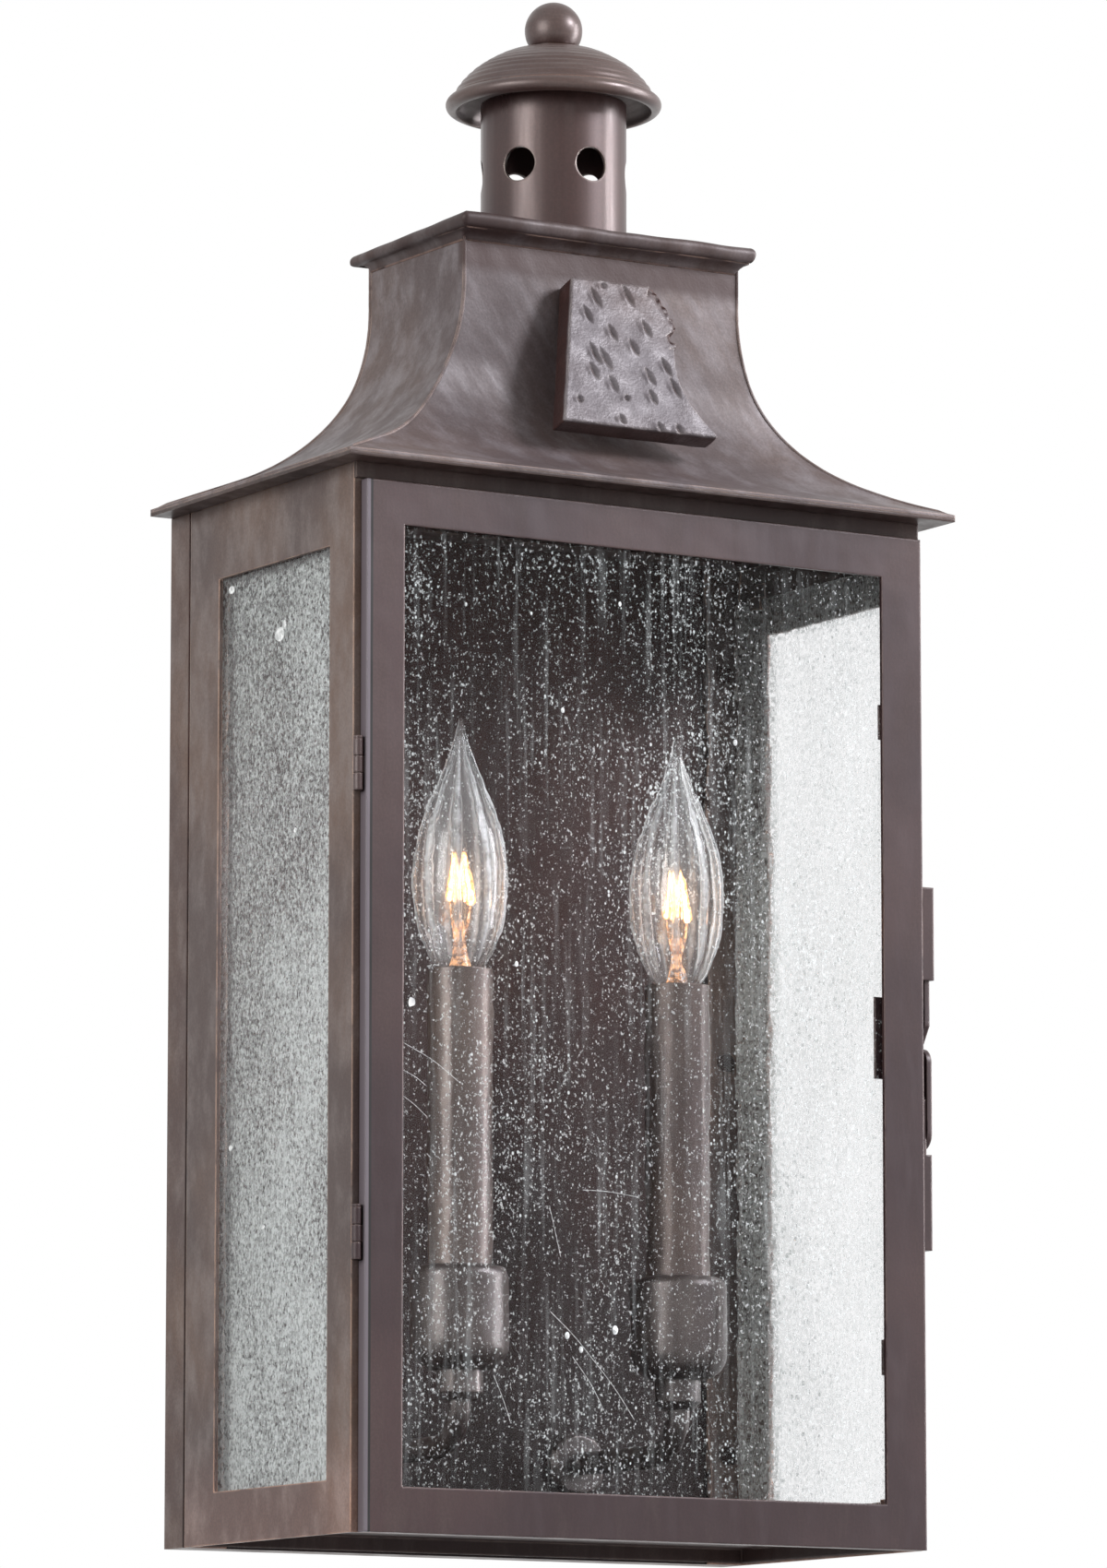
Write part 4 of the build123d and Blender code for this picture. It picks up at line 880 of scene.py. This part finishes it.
# %% [markdown]
# ## The rolled cap
# The plate that closes the roof has a thick rolled rim over a dark cove that meets the roof
# sheets. Each row of its surface is an outline between two others: from the chimney's circle
# to the rim on top, and from the roof's wall to the rim below. Rows on the rim are pushed out
# along the outline's normal, and the whole rim is a little bent by hand.

# %% Roof cap
roof_y = -68.5
steps = 480
cap_half, wall_half = np.array([59.4, 39.0]), np.array([54.95, 31.75])
cap_corners = cap_half * np.array([(-1, -1), (1, -1), (1, 1), (-1, 1)])
cap_edge = even_loop(cap_corners, steps, 1.4)
share = np.arange(steps) / steps
round_way = cap_edge / np.linalg.norm(cap_edge, axis=1, keepdims=True)
wall_edge = cap_edge * wall_half / cap_half
bore = 25.25 * round_way
bead = np.radians(np.linspace(105, -105, 15))
print("cap", 2 * cap_half, "mm, over a roof top of", 2 * wall_half)

# %% [markdown]
# Each row is (how far out, how far pushed, height). Out is 0 at the inner outline and 1 at the
# rim. The rows of the rolled bead follow an arc from its top round to its underside.

# %% The cap's rows
top_rows = [(0, -2.45, 251.72), (0, -2.45, 255.4), (0, 0, 255.4), (0, 0, 256.3)]
top_rows += [(s, -2.2 * s, 256.3 + 0.1 * s) for s in (0.3, 0.6, 0.9, 1.0)]
top_rows += [(1, -2.1 + 2.2 * np.cos(a), 254.4 + 2.2 * np.sin(a)) for a in bead]
cove = [(0.62, 252.35), (0.38, 251.9), (0.2, 251.1), (0.08, 250.1), (0.01, 248.9), (-0.01, 248.9)]
low_rows = [(s, 0, z) for s, z in cove + [(-0.01, 251.72)]]
rows = np.array(top_rows + low_rows, float)
out, push, height = rows[:, 0, None, None], rows[:, 1, None], rows[:, 2, None]
inner = np.where((np.arange(len(rows)) < len(top_rows))[:, None, None], bore, wall_edge)
normal = (1 - out) * round_way + out * outward(cap_edge)
on_rim = (rows[:, 0] >= 1)[:, None]
dent = 0.5 * uneven(share, 11, 12) - 0.1
flat = (1 - out) * inner + out * cap_edge + (push + on_rim * dent)[..., None] * normal
bent = 0.35 * uneven(share, 21, 10) - 1.1 * cap_edge[:, 1] / cap_half[1]
lift = height + on_rim * np.clip((height - 251.5) / 2, 0, 1) * bent
cap = np.concatenate([flat + [0, roof_y], lift[..., None]], -1) / 1000
piece("rolled_cap", [cap], "cap_bronze", "lantern", ["roof_cap_plate"], ringed=True)

# %% [markdown]
# ## The spun dome
# A disc of sheet was spun over a form: a smooth crown with fine turned ridges, and a rolled
# rim. It is a profile carried round the chimney's axis. The ridges are a small cosine along
# the profile's length.

# %% Dome
crown = [(2.05, 328.2), (9.0, 328.15), (15.5, 326.9), (21.5, 324.2)]
crown += [(27.0, 320.6), (31.6, 316.2), (34.2, 312.6), (34.9, 311.3)]
crown = smooth_line(crown, 14)
along = np.concatenate([[0], np.cumsum(np.linalg.norm(np.diff(crown, axis=0), axis=1))])
size = np.interp(along, [0, 8, 14, along[-1] - 16, along[-1] - 9, along[-1]], [0, 0, 0.06, 0.08, 0.24, 0.20])
ridge = size * np.cos(2 * np.pi * (along[-1] - along) / 2.7)
crown = crown + np.stack([0.5 * ridge, 0.85 * ridge], -1)
roll = np.radians(np.linspace(82, -95, 15))
roll = np.stack([34.6 + 2.8 * np.cos(roll), 308.5 + 2.6 * np.sin(roll)], -1)
under = [(34.0, 306.0), (33.4, 309.0), (31.4, 312.8), (27.2, 317.4)]
under += [(21.4, 321.6), (15.0, 324.8), (8.0, 326.6), (2.05, 326.8)]
profile = np.vstack([crown, roll, smooth_line(under, 6)]) / 1000
dome = turned(profile, (0, roof_y / 1000), 144)
piece("spun_dome", [dome], "spun_bronze", "lantern", ["dome_cap"], ringed=True)

# %% [markdown]
# ## Soldered hips
# The four roof sheets meet at the hips under a thin run of solder. The line of each hip
# follows the flare: a straight foot, an arc, then upright. It is worked out from the same
# sizes as the sheets, and a thin uneven tube is laid along it.

# %% Hip seams
slope, eave_z = np.radians(20.8), 165.4


def flare(z, half_eave, run, bend):
    """How far out a roof sheet is at a height: a slope, then a circle's arc, then upright."""
    centre_out = half_eave - run + bend
    centre_up = eave_z + (run - bend * (1 - np.sin(slope))) * np.tan(slope) + bend * np.cos(slope)
    straight = half_eave - (z - eave_z) / np.tan(slope)
    arc = centre_out - np.sqrt(np.clip(bend**2 - (centre_up - z) ** 2, 0, None))
    line = np.where(z < centre_up - bend * np.cos(slope), straight, arc)
    return np.where(z > centre_up, half_eave - run, line)


z = np.linspace(166.0, 251.2, 90)
out_x, out_y = flare(z, 120.5, 65.6, 65.0), flare(z, 68.0, 36.3, 45.0)
seams = []
for k, (way_x, way_y) in enumerate([(-1, -1), (1, -1), (1, 1), (-1, 1)]):
    line = np.stack([way_x * (out_x - 0.1), roof_y + way_y * (out_y - 0.1), z], -1)
    radius = 0.62 * (1 + 0.3 * uneven(np.linspace(0, 1, len(z)), 30 + k))
    seams.append(tube(line, np.minimum(radius, rounded_ends(line, 0.6)), 8) / 1000)
piece("hip_seams", seams, "roof_bronze", "lantern")

# %% [markdown]
# ## Fluted bulbs
# The bulbs are flame shaped and pressed with narrow upright ribs, which catch the light as
# white lines. The glass is a profile of two walls carried round. A high power of a cosine of
# the angle is near zero except at the ribs, which twist a little and fade at the neck and the
# tip. The same wave is stored with the mesh, for the material's painted highlight on the ribs.

# %% Bulbs
lamp_x, lamp_y = 43.3, -78.5
bulb_foot, bulb_tall, bulb_wide = 0.5, 89.0, 15.6
flame = [(0.4, 0), (0.72, 0.1), (0.93, 0.22), (1, 0.38)]
flame += [(0.89, 0.54), (0.62, 0.68), (0.3, 0.82), (0.13, 0.92)]
outline = smooth_line([(bulb_wide * wide, bulb_foot + bulb_tall * up) for wide, up in flame], 9)
outer = np.vstack([outline, [(1.5, 85.6), (0.9, 87.8), (0.35, 88.9)]])
inner = outline[outline[:, 0] > 1.5] - [0.8, 0]
walls = np.vstack([outer[::-1], inner])
angle = np.linspace(0, 2 * np.pi, 216, endpoint=False)
rise = ((walls[:, 1] - bulb_foot) / bulb_tall)[:, None]
fade = np.clip(rise / 0.2, 0, 1) * np.clip((0.97 - rise) / 0.25, 0, 1)
rib = fade * (0.5 + 0.5 * np.cos(9 * angle + 0.9 * rise + 0.5)) ** 7
rib[len(outer) :] = 0.0
for name, side_x in (("left", -lamp_x), ("right", lamp_x)):
    radius = walls[:, 0, None] + 0.75 * rib
    x, y = side_x + radius * np.cos(angle), lamp_y + radius * np.sin(angle)
    wall = np.stack([x, y, walls[:, 1, None] + 0 * radius], -1) / 1000
    replaced = [f"{name}_bulb_glass"]
    bulb = piece(f"{name}_flame_bulb", [wall], "clear_bulb_glass", "lantern", replaced)
    stored = bulb.data.attributes.new("ridge", "FLOAT", "POINT")
    stored.data.foreach_set("value", np.append(np.clip(rib, 0, 1).ravel(), [0.6, 0.0]).astype(np.float32))

# %% [markdown]
# ## Filaments
# Inside each bulb a coiled wire goes up to a point and down again, on two supports that grow
# out of a glass stem. The coil is so bright that only its ragged outline shows: two tubes
# whose radius ripples, each inside a wider skin of orange light.

# %% Filaments and stems
coil, skins, stems = [], [], []
arches = [(6.6, 25.5, 41.5, 0.85), (3.2, 26.5, 37.5, 0.6)]
for side_x in (-lamp_x, lamp_x):
    for k, (reach, low, high, thickness) in enumerate(arches):
        rising = [(-reach, low), (-0.75 * reach, low + 0.4 * (high - low))]
        rising += [(-0.3 * reach, high - 2.0), (0, high)]
        arch = np.array(rising + [(-x, z) for x, z in rising[-2::-1]])
        line = smooth_line(arch, 16)
        line = np.stack([side_x + 0.9 * line[:, 0], lamp_y + 0.4 * line[:, 0] + k, line[:, 1]], -1)
        ripple = 1 + 0.35 * uneven(np.linspace(0, 1, len(line)), 50 + k, 16)
        coil.append(tube(line, np.minimum(thickness * ripple, rounded_ends(line, 0.9)), 10) / 1000)
        skins.append(tube(line, np.minimum(2.5 * thickness * ripple, rounded_ends(line, 1.6)), 12) / 1000)
    for x in (-6.2, 6.2):
        line = [(side_x + 0.2 * x, lamp_y, 14.0), (side_x + 0.45 * x, lamp_y, 19.0)]
        line = smooth_line(line + [(side_x + 0.9 * x, lamp_y + 0.4 * x, 25.6)], 8)
        stems.append(tube(line, rounded_ends(line, 0.42), 8) / 1000)
    foot = [(4.4, 0.8), (4.1, 3.0), (2.6, 8.0), (1.7, 13.0), (1.8, 17.0), (1.1, 19.2), (0.3, 20.0)]
    stems.append(turned(smooth_line(foot, 6) / 1000, (side_x / 1000, lamp_y / 1000), 32))
piece("filament_coils", coil, "white_hot_wire", "lantern", ["bulb_filaments"])
piece("filament_halos", skins, "orange_halo", "lantern")
piece("filament_stems", stems, "stem_glass_painted_glow", "lantern")

# %% [markdown]
# ## Scratches and large seeds
# The door's pane has a few long curved scratches, and it and the left pane have some seeds
# much larger than the rest. They are too few for a texture: thin tubes lie on the glass along
# curves through a few points, and small long balls stand for the seeds.

# %% Scratches
scratches = [
    [(-94.2, -29.5), (-82.6, -34.9), (-72.0, -41.9)],
    [(-94.2, -38.6), (-89.5, -40.6), (-85.1, -43.5)],
    [(-94.2, -47.1), (-89.8, -49.8), (-85.0, -53.6)],
    [(-37.8, -115.2), (-28.5, -123.0), (-19.9, -131.8), (-11.9, -140.6), (-4.7, -150.2)],
    [(-59.5, -137.0), (-55.9, -144.8), (-52.7, -153.1)],
    [(-37.8, -81.0), (-35.6, -89.1), (-33.5, -97.3)],
    [(-25.2, -74.5), (-14.8, -74.6), (-3.2, -75.8)],
    [(-29.2, -129.7), (-22.0, -138.6), (-16.6, -147.5)],
]
thin = []
for points in scratches:
    line = smooth_line([(x, -127.50, z) for x, z in points], 16)
    thin.append(tube(line, rounded_ends(line, 0.085), 6) / 1000)
piece("door_scratches", thin, "white_scratch", "door")


# %% Large seeds
def long_ball(centre, size):
    """A ball stretched along each axis: a half circle's profile carried round, then scaled."""
    turn = np.linspace(0.05, np.pi - 0.05, 9)
    ball = turned(np.stack([np.sin(turn), np.cos(turn)], -1), (0, 0), 14)
    return (np.array(centre) + ball * np.array(size)) / 1000


door_seeds = [
    (-31.0, -123.1, 0.9), (-25.6, -127.5, 0.8), (-12.3, -120.5, 1.1), (-45.0, 117.6, 0.45),
    (-10.1, 123.9, 0.6), (35.9, 80.5, 0.8), (-32.7, 85.9, 0.7), (-50.7, -0.7, 0.7),
    (-70.5, 118.4, 0.5), (-0.2, -39.2, 0.5),
]
balls = [long_ball((x, -127.45, z), (s, 0.25, 1.4 * s)) for x, z, s in door_seeds]
piece("door_large_seeds", balls, "white_scratch", "door")
side_seeds = [
    (-73.0, 112.6, 3.2, 2.4), (-76.2, 115.4, 1.1, 1.6), (-39.9, 132.5, 2.0, 1.4),
    (-41.4, -57.7, 1.2, 1.1), (-84.0, 44.9, 1.0, 0.9), (-63.6, -85.9, 1.1, 0.8),
]
balls = [long_ball((-110.5, y, z), (0.3, wide, tall)) for y, z, wide, tall in side_seeds]
piece("side_large_seeds", balls, "white_scratch", "lantern")

# %% [markdown]
# ## Dressing the CAD nodes
# Each node keeps its shape and takes its finish in its material slots.

# %% Finishes for nodes
worn_by = {
    "pan_bronze": "wall_pan pan_rivets cap_nuts",
    "body_bronze": "right_side_frame left_side_frame side_glass_clips",
    "lip_painted_highlight": "sill_rail",
    "painted_shade_bronze": "header_rail bottom_plate soffit_plate",
    "roof_bronze": "roof_front_panel roof_back_panel roof_left_panel roof_right_panel roof_cap_plate",
    "spun_bronze": "dome_cap finial",
    "tube_bronze": "chimney_tube",
    "door_frame_bronze": "door_frame",
    "door_bronze": "door_glass_clips hinge_door_leaves hinge_body_leaves hinge_pins "
    "door_latch_strap latch_base latch_lever latch_strap_rivet latch_pivot_rivet",
    "forged_bronze": "hammered_plate",
    "candle_bronze": "right_candle_sleeve left_candle_sleeve",
    "cup_bronze": "right_candle_arm left_candle_arm arm_wall_flanges arm_couplings candle_cups",
    "zinc": "mounting_crossbar mounting_screws ground_screw chimney_bridge finial_spacer finial_nut "
    "plate_studs plate_nuts arm_lock_nuts candle_nipples cup_lock_nuts",
    "brass": "socket_contacts",
    "lamp_cap": "bulb_bases",
    "moulded_black": "lamp_sockets wire_connectors",
    "wire_sleeve": "lamp_leads",
    "door_seeded_glass": "door_glass",
    "left_seeded_glass": "left_side_glass",
    "right_seeded_glass": "right_side_glass",
    "clear_bulb_glass": "right_bulb_glass left_bulb_glass",
    "white_hot_wire": "bulb_filaments",
}
for finish, names in worn_by.items():
    for name in names.split():
        for slot in parts[name].material_slots:
            slot.material = finishes[finish]
print("without a finish", sorted(set(parts) - set(" ".join(worn_by.values()).split())))
